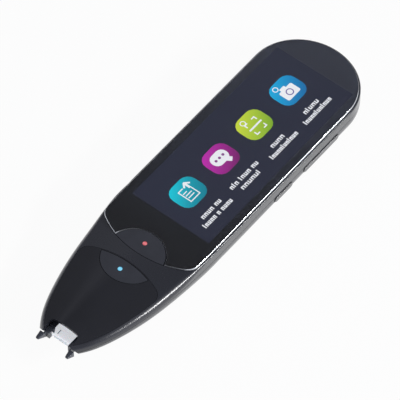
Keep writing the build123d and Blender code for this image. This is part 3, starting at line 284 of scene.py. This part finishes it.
# copper laid between amber polyimide films, laminated: bright lines along the ribbon
ribbonFilm = cellFinish("laminatedPolyimide", {
    "cellMm": 0.5, "random": 0.0, "lineShare": 0.14, "line": "#7a3f12", "field": "#c07a2c",
    "stretch": (0.05, 1, 1),
    "roughLow": 0.3, "roughHigh": 0.42, "relief": 0.25, "depthMm": 0.01,
}, {"IOR": 1.6, "Coat Weight": 0.2})
# woven steel wire over the sound holes: a fine dark weave
speakerWeave = cellFinish("wovenSteelMesh", {
    "cellMm": 0.22, "random": 0.0, "lineShare": 0.3, "line": "#6f7378", "field": "#0c0d0f",
    "roughLow": 0.35, "roughHigh": 0.6, "relief": 0.5, "depthMm": 0.03,
}, {"Metallic": 0.6})
# acrylic foam tape, die cut: matt black with open pores
foamTape = cellFinish("dieCutFoamTape", {
    "cellMm": 0.18, "random": 1.0, "lineShare": 0.2, "line": "#2c2d30", "field": "#141517",
    "roughLow": 0.75, "roughHigh": 0.95, "relief": 0.5, "depthMm": 0.02,
}, {"IOR": 1.45, "Sheen Weight": 0.2})
# aluminium laminate pouch, cold formed: pale foil with shallow wrinkles
batteryFoil = grainedFinish("formedAluminiumLaminate", {
    "dark": "#b6b9be", "light": "#cdd0d4", "cloudMm": 9.0, "grainMm": 2.2,
    "roughLow": 0.28, "roughHigh": 0.4, "relief": 0.5, "depthMm": 0.08,
}, {"Metallic": 0.85})
# stainless sheet, cold rolled: fine lines along the rolling direction
steelSheet = grainedFinish("rolledStainlessSheet", {
    "dark": "#9a9ca0", "light": "#b9bbbf", "cloudMm": 0.5, "grainMm": 0.25, "stretch": (0.04, 1, 1),
    "roughLow": 0.24, "roughHigh": 0.36, "relief": 0.15, "depthMm": 0.004,
}, {"Metallic": 1.0})
# deep-drawn tinned steel cans of the switches: brighter, with draw marks round the sides
switchCan = grainedFinish("drawnTinnedSteel", {
    "dark": "#a4a6a8", "light": "#c4c5c6", "cloudMm": 0.6, "grainMm": 0.2, "stretch": (1, 1, 0.1),
    "roughLow": 0.2, "roughHigh": 0.34, "relief": 0.15, "depthMm": 0.004,
}, {"Metallic": 1.0})
# music wire, drawn and coiled
springSteel = grainedFinish("drawnSpringWire", {
    "dark": "#8a8c90", "light": "#a9abb0", "cloudMm": 0.4, "grainMm": 0.12, "stretch": (1, 0.2, 0.2),
    "roughLow": 0.2, "roughHigh": 0.32, "relief": 0.12, "depthMm": 0.003,
}, {"Metallic": 1.0})
# carbon steel screws, cold headed and blackened: dark with a soft shine
screwSteel = grainedFinish("blackenedScrewSteel", {
    "dark": "#2a2b2e", "light": "#3c3d41", "cloudMm": 0.8, "grainMm": 0.15,
    "roughLow": 0.3, "roughHigh": 0.45, "relief": 0.2, "depthMm": 0.006,
}, {"Metallic": 0.9})
# liquid crystal cell, laminated: float glass over dark polariser
screenGlass = grainedFinish("polarisedScreenGlass", {
    "dark": "#101116", "light": "#15161c", "cloudMm": 25.0, "grainMm": 0.2,
    "roughLow": 0.12, "roughHigh": 0.2, "relief": 0.03, "depthMm": 0.004,
}, {"IOR": 1.52})
# white polycarbonate, moulded: backlight frame and lamp bodies
whitePlastic = grainedFinish("whiteMouldedPolycarbonate", {
    "dark": "#dadbd8", "light": "#e9eae7", "cloudMm": 4.0, "grainMm": 0.3,
    "roughLow": 0.4, "roughHigh": 0.5, "relief": 0.15, "depthMm": 0.008,
}, {"IOR": 1.58, "Subsurface Weight": 0.1, "Subsurface Scale": 0.001})
# acetal plungers, turned smooth by the tool: warm white, waxy
switchPlastic = grainedFinish("mouldedAcetal", {
    "dark": "#cfcac0", "light": "#dedad1", "cloudMm": 1.5, "grainMm": 0.2,
    "roughLow": 0.35, "roughHigh": 0.5, "relief": 0.15, "depthMm": 0.006,
}, {"IOR": 1.48})
# silicone lamp lenses over yellow phosphor
ledPlastic = grainedFinish("phosphorSilicone", {
    "dark": "#e2cf5a", "light": "#f0e190", "cloudMm": 0.5, "grainMm": 0.1,
    "roughLow": 0.3, "roughHigh": 0.45, "relief": 0.2, "depthMm": 0.006,
}, {"IOR": 1.43, "Subsurface Weight": 0.2, "Subsurface Scale": 0.0005})
# glass-filled nylon, moulded matt black: holder, barrel and speaker frame
blackPlastic = grainedFinish("glassFilledNylon", {
    "dark": "#151618", "light": "#1d1e21", "cloudMm": 3.0, "grainMm": 0.2,
    "roughLow": 0.5, "roughHigh": 0.65, "relief": 0.3, "depthMm": 0.012,
}, {"IOR": 1.53})
# epoxy chip packages, transfer moulded: charcoal with a fine sparkle of filler
chipPlastic = grainedFinish("transferMouldedEpoxy", {
    "dark": "#1a1b1d", "light": "#28292c", "cloudMm": 0.6, "grainMm": 0.1,
    "roughLow": 0.45, "roughHigh": 0.6, "relief": 0.3, "depthMm": 0.008,
}, {"IOR": 1.55})
# liquid crystal polymer connectors, moulded: off white with flow streaks
connectorPlastic = grainedFinish("mouldedCrystalPolymer", {
    "dark": "#c9c4b4", "light": "#dcd8ca", "cloudMm": 1.2, "grainMm": 0.2, "stretch": (1, 0.3, 1),
    "roughLow": 0.45, "roughHigh": 0.6, "relief": 0.2, "depthMm": 0.008,
}, {"IOR": 1.6})
print("inner finishes ready")

finishes = {
    "lower_housing": shellPlastic, "upper_housing": shellPlastic, "nose_cover": glossCover,
    "display_glass": coverGlass, "display_gasket": foamTape, "lcd_panel": screenGlass,
    "backlight_unit": whitePlastic, "display_plate": steelSheet,
    "ok_button": keyPlastic, "back_button": keyPlastic, "ok_light_pipe": bluePipe, "back_light_pipe": redPipe,
    "ok_switch_plunger": switchPlastic, "back_switch_plunger": switchPlastic, "key_board": circuitBoard,
    "key_switches": switchCan, "status_leds": ledPlastic,
    "power_button": sideKeyPlastic, "volume_rocker": sideKeyPlastic,
    "power_switch_plunger": switchPlastic, "volume_switch_plungers": switchPlastic,
    "side_switches": switchCan, "side_key_board": circuitBoard,
    "tip_bracket": smokePlastic, "light_guide": opalGuidePaintedGlow, "scan_window": clearPane,
    "tip_switch": switchCan, "tip_switch_plunger": switchPlastic, "tip_spring": springSteel,
    "lens_holder": blackPlastic, "lens_barrel": blackPlastic, "lens_glass": clearPane,
    "image_sensor": chipPlastic, "camera_board": circuitBoard, "tip_led_board": circuitBoard, "tip_leds": ledPlastic,
    "main_board": circuitBoard, "processor_shield": steelSheet, "radio_shield": steelSheet,
    "processor_chip": chipPlastic, "radio_chip": chipPlastic, "board_connectors": connectorPlastic,
    "wifi_antenna": ribbonFilm, "battery": batteryFoil, "battery_tape": foamTape, "battery_tab": ribbonFilm,
    "speaker": blackPlastic, "speaker_mesh": speakerWeave, "usb_board": circuitBoard, "usb_shell": steelSheet,
    "usb_tongue": blackPlastic, "microphone": steelSheet,
    "display_flex": ribbonFilm, "camera_flex": ribbonFilm, "key_flex": ribbonFilm, "usb_flex": ribbonFilm,
    "housing_screws": screwSteel,
}
for name, material in finishes.items():
    for materialSlot in nodes[name].material_slots:
        materialSlot.material = material
print("nodes without a finish:", [name for name in nodes if name not in finishes])


def finishPiece(name, shape, material, body):   # a bmesh in millimetres becomes a piece that rides on a body
    bmesh.ops.scale(shape, vec=(mm, mm, mm), verts=shape.verts)
    bmesh.ops.recalc_face_normals(shape, faces=shape.faces)
    data = bpy.data.meshes.new(name)
    shape.to_mesh(data)
    shape.free()
    data.materials.append(material)
    piece = bpy.data.objects.new(name, data)
    bpy.context.scene.collection.objects.link(piece)
    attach(piece, body)
    return piece


def nodeShape(name, weld):   # a CAD node's mesh in millimetres, with corners closer than weld joined
    shape = bmesh.new()
    shape.from_mesh(nodes[name].data)
    bmesh.ops.remove_doubles(shape, verts=shape.verts, dist=weld * mm)
    bmesh.ops.scale(shape, vec=(1 / mm, 1 / mm, 1 / mm), verts=shape.verts)
    return shape


def cutShape(shape, point, direction, dropBehind=False):   # cuts along a plane
    bmesh.ops.bisect_plane(shape, geom=shape.verts[:] + shape.edges[:] + shape.faces[:], dist=1e-5,
                           plane_co=point, plane_no=direction, clear_inner=dropBehind)


def raiseFlat(shape, faces, height):   # thickens flat faces upwards and gives back the new corners
    grown = bmesh.ops.extrude_face_region(shape, geom=faces)
    top = [v for v in grown["geom"] if isinstance(v, bmesh.types.BMVert)]
    bmesh.ops.translate(shape, vec=(0, 0, height), verts=top)
    return top


roundSteps = {"corner": 4, "ring": 40}   # edges round a quarter turn of a bar's corner and round a whole ring


def addBar(shape, centre, size, corner, turned=0.0):   # flat bar with round corners; size is length, width, height
    made = bmesh.ops.create_cube(shape, size=1.0)["verts"]
    bmesh.ops.scale(shape, vec=size, verts=made)
    if corner > 0:
        edges = {e for v in made for e in v.link_edges}
        standing = [e for e in edges if abs(e.verts[0].co.z - e.verts[1].co.z) > size[2] / 2]
        made += bmesh.ops.bevel(shape, geom=standing, offset=corner, affect="EDGES", segments=roundSteps["corner"],
                                profile=0.5, material=-1)["verts"]
        made = list({v for v in made if v.is_valid})
    bmesh.ops.rotate(shape, cent=(0, 0, 0), matrix=Matrix.Rotation(math.radians(turned), 3, "Z"), verts=made)
    bmesh.ops.translate(shape, vec=centre, verts=made)


def addRing(shape, centre, outer, line, height):   # flat ring that stands on its centre
    made = []
    for radius in (outer, outer - line):
        made += bmesh.ops.create_circle(shape, segments=roundSteps["ring"], radius=radius)["verts"]
    faces = bmesh.ops.bridge_loops(shape, edges=list({e for v in made for e in v.link_edges}))["faces"]
    made += raiseFlat(shape, faces, height)
    bmesh.ops.translate(shape, vec=centre, verts=made)


# screen: ink frame and lit picture, bonded to the back of the cover glass
screen = {
    "front": -14.9, "tail": 67.3, "side": 17.05,   # mm, edges of the lit window
    "height": 0.03,                                # mm, thickness of ink and picture
    "weld": 0.001, "flatness": 0.01,               # mm, faces of the back are this near to its lowest point
}


def glassBack():   # flat back of the cover glass, cut along the window's edges
    shape = nodeShape("display_glass", screen["weld"])
    limit = min(v.co.z for v in shape.verts) + screen["flatness"]
    upper = [f for f in shape.faces if max(v.co.z for v in f.verts) > limit]
    bmesh.ops.delete(shape, geom=upper, context="FACES")
    for along in (screen["front"], screen["tail"]):
        cutShape(shape, (along, 0, 0), (1, 0, 0))
    for across in (-screen["side"], screen["side"]):
        cutShape(shape, (0, across, 0), (0, 1, 0))
    return shape


def insideWindow(face):
    spot = face.calc_center_median()
    return screen["front"] < spot.x < screen["tail"] and abs(spot.y) < screen["side"]


# black ceramic ink, screen printed on the back of the glass: deep black frame round the window, with a painted sheen
# that greys it towards the tail
frameInk = grainedFinish("screenPrintedBlackInk", {
    "dark": "#121316", "light": "#151619", "cloudMm": 12.0, "grainMm": 0.8,
    "paintedSheen": "#565a68", "from": -25.0, "to": 62.0,   # mm, painted sheen: greyer towards the tail, standing in for a reflection
    "roughLow": 0.45, "roughHigh": 0.5, "relief": 0.02, "depthMm": 0.004,
}, {"IOR": 1.5})
# backlit liquid crystal picture: slate blue, with painted shade that makes it a touch darker towards the tail,
# offsetting the reflection there
litPicture = litFinish("litScreenPicture", {
    "along": (1, 0, 0), "from": screen["front"], "to": screen["tail"], "grainMm": 2.5,
    "colours": ("#212436", "#212436", "#1f2234"), "strength": 1.0,
})
for name, material, inside in (("glassInk", frameInk, False), ("screenPicture", litPicture, True)):
    shape = glassBack()
    bmesh.ops.delete(shape, geom=[f for f in shape.faces if insideWindow(f) != inside], context="FACES")
    raiseFlat(shape, shape.faces[:], screen["height"])
    finishPiece(name, shape, material, "pen_body")
print("ink frame and lit picture made")

# app tiles: four coloured squares
tiles = {
    "size": (12.3, 11.3), "corner": 3.9, "height": 0.03, "low": 11.13, "y": 2.15,   # mm
    "towards": (0.6225, -0.7826, 0.0), "reach": 7,   # their colours grow deeper this way, over so many mm each side
    "pageTile": {"x": -2.4, "colours": ("#00cfe0", "#009fb2", "#007f92")},
    "talkTile": {"x": 16.05, "colours": ("#c426ae", "#a21c8e", "#741664")},
    "scanTile": {"x": 35.05, "colours": ("#d2e03a", "#acca34", "#7cac24")},
    "photoTile": {"x": 54.35, "colours": ("#00aee0", "#008cc6", "#0068a4")},
}
tileNames = ("pageTile", "talkTile", "scanTile", "photoTile")
pictureFoot = tiles["low"] + tiles["height"]
for name in tileNames:
    look = tiles[name]
    middle = look["x"] * tiles["towards"][0] + tiles["y"] * tiles["towards"][1]
    # backlit colour filter of the screen, bright at one corner and deep at the other
    lit = litFinish(name + "Light", {
        "along": tiles["towards"], "from": middle - tiles["reach"], "to": middle + tiles["reach"], "grainMm": 0.6,
        "colours": look["colours"], "strength": 1.0,
    })
    shape = bmesh.new()
    centre = (look["x"], tiles["y"], tiles["low"] + tiles["height"] / 2)
    addBar(shape, centre, (*tiles["size"], tiles["height"]), tiles["corner"])
    finishPiece(name, shape, lit, "pen_body")
print("tiles made")

# backlit white of the screen, for pictures and labels
litWhite = litFinish("litWhitePicture", {
    "along": (0, 1, 0), "from": -12, "to": 8, "grainMm": 0.5, "colours": ("#f0f1f4", "#f6f7f9"), "strength": 1.0,
})
# backlit deep colours of the screen, for marks on the white pictures
deepMark = litFinish("litDeepMark", {
    "along": tiles["towards"], "from": 0, "to": 60, "grainMm": 0.5,
    "colours": ("#8a1c7a", "#1a6fb4"), "strength": 1.0,
})
# pictures on the tiles, in mm from the middle of a tile
# bar: tile, place along and across, length and width, corner, degrees turned; ring: tile, place, outer radius, line
markHeight = 0.02   # mm, white above the tile
pictures = {
    "pagePicture": {   # page with lines and an arrow out of it
        "bars": (
            ("pageTile", -2.4, -0.5, 0.42, 6.0, 0.12, 0), ("pageTile", 2.4, -1.3, 0.42, 4.4, 0.12, 0),
            ("pageTile", 0, -3.4, 5.2, 0.42, 0.12, 0), ("pageTile", -1.3, 2.4, 2.6, 0.42, 0.12, 0),
            ("pageTile", -0.9, 0.6, 2.0, 0.42, 0.12, 0), ("pageTile", -0.3, -0.6, 3.2, 0.42, 0.12, 0),
            ("pageTile", -0.3, -1.8, 3.2, 0.42, 0.12, 0), ("pageTile", 2.1, 1.9, 0.9, 2.4, 0.1, 0),
            ("pageTile", 2.85, 2.9, 0.7, 2.4, 0.1, 45), ("pageTile", 1.35, 2.9, 0.7, 2.4, 0.1, -45),
        ),
        "rings": (), "lift": 0.0, "material": litWhite,
    },
    "talkPicture": {   # speech bubble
        "bars": (("talkTile", 0, 0.6, 7.6, 5.4, 2.5, 0), ("talkTile", 1.9, -2.2, 2.0, 2.4, 0.3, 35)),
        "rings": (), "lift": 0.0, "material": litWhite,
    },
    "pictureMarks": {   # three dots in the bubble, and the lens of the camera
        "bars": (),
        "rings": (("talkTile", -1.9, 0.6, 0.55, 0.5), ("talkTile", 0, 0.6, 0.55, 0.5),
                  ("talkTile", 1.9, 0.6, 0.55, 0.5), ("photoTile", 0, -0.9, 1.5, 0.4)),
        "lift": markHeight, "material": deepMark,
    },
    "scanPicture": {   # frame corners, scan bar and ring
        "bars": (
            ("scanTile", -2.6, -2.9, 0.5, 1.7, 0.12, 0), ("scanTile", -2.0, -3.5, 1.7, 0.5, 0.12, 0),
            ("scanTile", -2.6, 1.7, 0.5, 1.7, 0.12, 0), ("scanTile", -2.0, 2.3, 1.7, 0.5, 0.12, 0),
            ("scanTile", 2.6, -2.9, 0.5, 1.7, 0.12, 0), ("scanTile", 2.0, -3.5, 1.7, 0.5, 0.12, 0),
            ("scanTile", 2.6, 1.7, 0.5, 1.7, 0.12, 0), ("scanTile", 2.0, 2.3, 1.7, 0.5, 0.12, 0),
            ("scanTile", 0, -0.6, 6.6, 0.7, 0.3, 0),
        ),
        "rings": (("scanTile", -2.2, 3.4, 1.15, 0.35),), "lift": 0.0, "material": litWhite,
    },
    "photoPicture": {   # camera with its finder, and a ring for the flash
        "bars": (("photoTile", 0, -0.9, 6.8, 4.8, 0.7, 0), ("photoTile", -0.6, 1.8, 2.6, 1.4, 0.3, 0)),
        "rings": (("photoTile", -2.6, 3.6, 1.15, 0.35),), "lift": 0.0, "material": litWhite,
    },
}
for name, look in pictures.items():
    shape = bmesh.new()
    foot = pictureFoot + look["lift"]
    for tile, along, across, long, wide, corner, turned in look["bars"]:
        centre = (tiles[tile]["x"] + along, tiles["y"] + across, foot + markHeight / 2)
        addBar(shape, centre, (long, wide, markHeight), corner, turned)
    for tile, along, across, outer, line in look["rings"]:
        addRing(shape, (tiles[tile]["x"] + along, tiles["y"] + across, foot), outer, line, markHeight)
    finishPiece(name, shape, look["material"], "pen_body")
print("pictures made")

# labels: marks of three kinds that only look like letters, so that no words show
labels = {
    "stroke": 0.46, "low": 1.45, "tall": 2.0, "arch": 1.05,    # mm, the marks
    "room": {"n": 1.3, "u": 1.3, "l": 0.8, " ": 0.8},          # mm, each mark with the gap after it
    "aside": -0.45, "below": (10.6, 13.6),                     # mm, the two lines from the middle of the tile
    "pageTile": (("nnun nu", 10.4), ("lnunn n nunu", 15.4)),   # marks and the length of their line
    "talkTile": (("nln lnun nu", 15.2), ("nnunul", 10.2)),
    "scanTile": (("nunn", 7.0), ("lnunnlunlnun", 14.9)),
    "photoTile": (("nlunu", 8.0), ("lnunnlunlnun", 14.9)),
}


def addMark(shape, mark, left, foot, arch):   # an upright post, or two posts joined at the top or the bottom
    stroke, low, tall = labels["stroke"], labels["low"], labels["tall"]
    level = pictureFoot + markHeight / 2
    if mark == "l":
        addBar(shape, (left + stroke / 2, foot + tall / 2, level), (stroke, tall, markHeight), 0)
    elif mark in "nu":
        for side in (stroke / 2, arch - stroke / 2):
            addBar(shape, (left + side, foot + low / 2, level), (stroke, low, markHeight), 0)
        across = low - stroke / 2 if mark == "n" else stroke / 2
        addBar(shape, (left + arch / 2, foot + across, level), (arch - stroke * 2, stroke, markHeight), 0)


for name in tileNames:
    shape = bmesh.new()
    for (row, long), below in zip(labels[name], labels["below"]):
        grow = long / sum(labels["room"][mark] for mark in row)
        left = tiles[name]["x"] + labels["aside"] - long / 2
        foot = tiles["y"] - below - labels["tall"] / 2
        for mark in row:
            addMark(shape, mark, left, foot, labels["arch"] * grow)
            left += labels["room"][mark] * grow
    finishPiece(name.replace("Tile", "Label"), shape, litWhite, "pen_body")
print("labels made")

# enamel paint, wiped into the groove of the light guide: dark blue grey, slightly glossy
tickPaint = grainedFinish("wipedEnamelPaint", {
    "dark": "#2b3a4a", "light": "#36495c", "cloudMm": 0.5, "grainMm": 0.1,
    "roughLow": 0.3, "roughHigh": 0.4, "relief": 0.1, "depthMm": 0.004,
}, {"IOR": 1.5})
tick = {"front": -74.15, "long": 2.0, "y": 1.9, "wide": 0.3, "top": 7.05, "deep": 0.14}   # mm
shape = bmesh.new()
centre = (tick["front"] + tick["long"] / 2, tick["y"], tick["top"] - tick["deep"] / 2)
addBar(shape, centre, (tick["long"], tick["wide"], tick["deep"]), 0)
finishPiece("guideTick", shape, tickPaint, "scan_tip")
print("tick made")

# painted shadow: a black strip on the lower housing's outer wall, where the parting line between the housings lies in
# shade
seamShadowBlack = grainedFinish("paintedSeamShadow", {
    "dark": "#070708", "light": "#0c0c0e", "cloudMm": 2.0, "grainMm": 0.2,
    "roughLow": 0.7, "roughHigh": 0.85, "relief": 0.1, "depthMm": 0.004,
}, {"IOR": 1.45})
seam = {   # a painted shadow line round the rim of the lower housing, taken from its outer wall
    "top": 7.2, "wide": 0.2, "proud": 0.002, "thick": 0.1, "weld": 0.0001,   # mm
    "halfWidth": 21.2, "noseFrom": -15.0, "noseReach": 66.4,                   # mm, plan of the pen
    "tailFrom": 60.25, "tailDeep": 19.5,                                       # mm, where the tail bends and how deep
    "inside": 0.4,     # mm, faces further in than this aren't outside
    "tailEnd": 0.97,   # share of the tail's depth beyond which every face is near the outline
    "endLean": 20.0,   # how much the outward direction turns to the tail's end there
    "upward": 0.7,     # faces that look up more than this belong to no wall
}


def onOutside(face):   # tells whether a face is on the outer wall of the pen
    spot = face.calc_center_median()
    if spot.x < seam["noseFrom"]:
        bent = (seam["noseFrom"] - spot.x) / seam["noseReach"]
    else:
        bent = max(0.0, (spot.x - seam["tailFrom"]) / seam["tailDeep"])
    edge = seam["halfWidth"] * math.sqrt(max(0.0, 1 - bent ** 2))
    nearEdge = abs(spot.y) > edge - seam["inside"] or bent > seam["tailEnd"]
    outwards = Vector((bent * seam["endLean"] if spot.x > 0 else 0, spot.y, 0))
    return nearEdge and abs(face.normal.z) < seam["upward"] and face.normal.dot(outwards) > 0


shape = nodeShape("lower_housing", seam["weld"])
cutShape(shape, (0, 0, seam["top"] - seam["wide"]), (0, 0, 1), dropBehind=True)
cutShape(shape, (0, 0, seam["top"]), (0, 0, -1), dropBehind=True)
shape.normal_update()
bmesh.ops.delete(shape, geom=[f for f in shape.faces if not onOutside(f)], context="FACES")
shape.normal_update()
for vert in shape.verts:
    vert.co += Vector((vert.normal.x, vert.normal.y, 0)) * seam["proud"]
bmesh.ops.solidify(shape, geom=shape.faces[:], thickness=seam["thick"])
print("seam made,", len(shape.faces), "faces")
finishPiece("seamShadowStrip", shape, seamShadowBlack, "pen_body")

# return coil of the tip: a smooth-shaded copy of the CAD coil, shown in place of the CAD node
coil = {"travel": 0.4, "weld": 0.0001}   # mm
shape = nodeShape("tip_spring", coil["weld"])
for face in shape.faces:
    face.smooth = True
tipCoil = finishPiece("tipCoil", shape, springSteel, "pen_body")
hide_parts("tip_spring")
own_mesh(tipCoil)

# floor
stageLook = {"size": 6.0, "drop": 0.00002, "white": "#f2f2f2", "lift": 0.95}   # metres; lift is the glow's share
shape = bmesh.new()
bmesh.ops.create_grid(shape, x_segments=2, y_segments=2, size=stageLook["size"] / 2)
bmesh.ops.translate(shape, verts=shape.verts, vec=(0, 0, cadBox[0][2] - stageLook["drop"]))
floorData = bpy.data.meshes.new("floor")
shape.to_mesh(floorData)
shape.free()
floor = bpy.data.objects.new("floor", floorData)
bpy.context.scene.collection.objects.link(floor)
# matt studio paper, whitened only where the camera and reflections see it
studioPaper, tree, shader = startMaterial("mattStudioPaper", {
    "Base Color": linear(stageLook["white"]), "Roughness": 0.9,
})
path = addNode(tree, "ShaderNodeLightPath")
seen = addNode(tree, "ShaderNodeMath", {"operation": "MAXIMUM"},
               {0: path.outputs["Is Camera Ray"], 1: path.outputs["Is Glossy Ray"]})
clear = addNode(tree, "ShaderNodeMath", {"operation": "MAXIMUM"},
                {0: seen.outputs[0], 1: path.outputs["Is Transmission Ray"]})
share = addNode(tree, "ShaderNodeMath", {"operation": "MULTIPLY", 1: stageLook["lift"]}, {0: clear.outputs[0]})
glow = addNode(tree, "ShaderNodeEmission", {"Color": (1, 1, 1, 1), "Strength": 1.0})
both = addNode(tree, "ShaderNodeMixShader",
               links={"Fac": share.outputs[0], 1: shader.outputs["BSDF"], 2: glow.outputs["Emission"]})
output = [n for n in tree.nodes if n.bl_idname == "ShaderNodeOutputMaterial"][0]
tree.links.new(both.outputs["Shader"], output.inputs["Surface"])
floorData.materials.append(studioPaper)
print("floor placed")

# sky: white to the camera, while surfaces are lit by bands of grey from the horizon up
skyLook = {
    "tint": (0.96, 0.98, 1.1),
    "bands": (   # height in the sky from 0 to 1, and how bright it is there
        (0.0, 0.9), (0.12, 0.5), (0.3, 0.28), (0.72, 0.28), (0.78, 0.4),
        (0.792, 0.4), (0.80, 0.3), (0.825, 0.27), (0.835, 0.2),
    ),
}
world = bpy.data.worlds.new("softStudio")
bpy.context.scene.world = world
world.use_nodes = True
sky = world.node_tree
sky.nodes.clear()
path = addNode(sky, "ShaderNodeLightPath")
where = addNode(sky, "ShaderNodeTexCoord")
height = addNode(sky, "ShaderNodeSeparateXYZ", links={"Vector": where.outputs["Generated"]})
shade = addNode(sky, "ShaderNodeValToRGB", links={"Fac": height.outputs["Z"]})
setRamp(shade, [(level, (*(bright * part for part in skyLook["tint"]), 1)) for level, bright in skyLook["bands"]])
around = addNode(sky, "ShaderNodeBackground", {"Strength": 1.0}, {"Color": shade.outputs["Color"]})
white = addNode(sky, "ShaderNodeBackground", {"Color": (1, 1, 1, 1), "Strength": 1.0})
pick = addNode(sky, "ShaderNodeMixShader",
               links={"Fac": path.outputs["Is Camera Ray"], 1: around.outputs[0], 2: white.outputs[0]})
addNode(sky, "ShaderNodeOutputWorld", links={"Surface": pick.outputs["Shader"]})

# one narrow strip lamp, low at the side with the keys, for the light lines along the rims
strip = {   # metres and watts
    "place": (0.344, -0.944, 0.447), "aim": (0, 0, 0.01), "size": (0.55, 0.08), "power": 10.0,
}
stripData = bpy.data.lights.new("edgeStrip", "AREA")
stripData.shape = "RECTANGLE"
stripData.size, stripData.size_y = strip["size"]
stripData.energy = strip["power"]
lamp = bpy.data.objects.new("edgeStrip", stripData)
bpy.context.scene.collection.objects.link(lamp)
aim = Vector(strip["aim"]) - Vector(strip["place"])
lamp.matrix_world = Matrix.Translation(strip["place"]) @ aim.to_track_quat("-Z", "Y").to_matrix().to_4x4()
bpy.context.scene.view_settings.view_transform = "Standard"
print("sky and lamp placed")
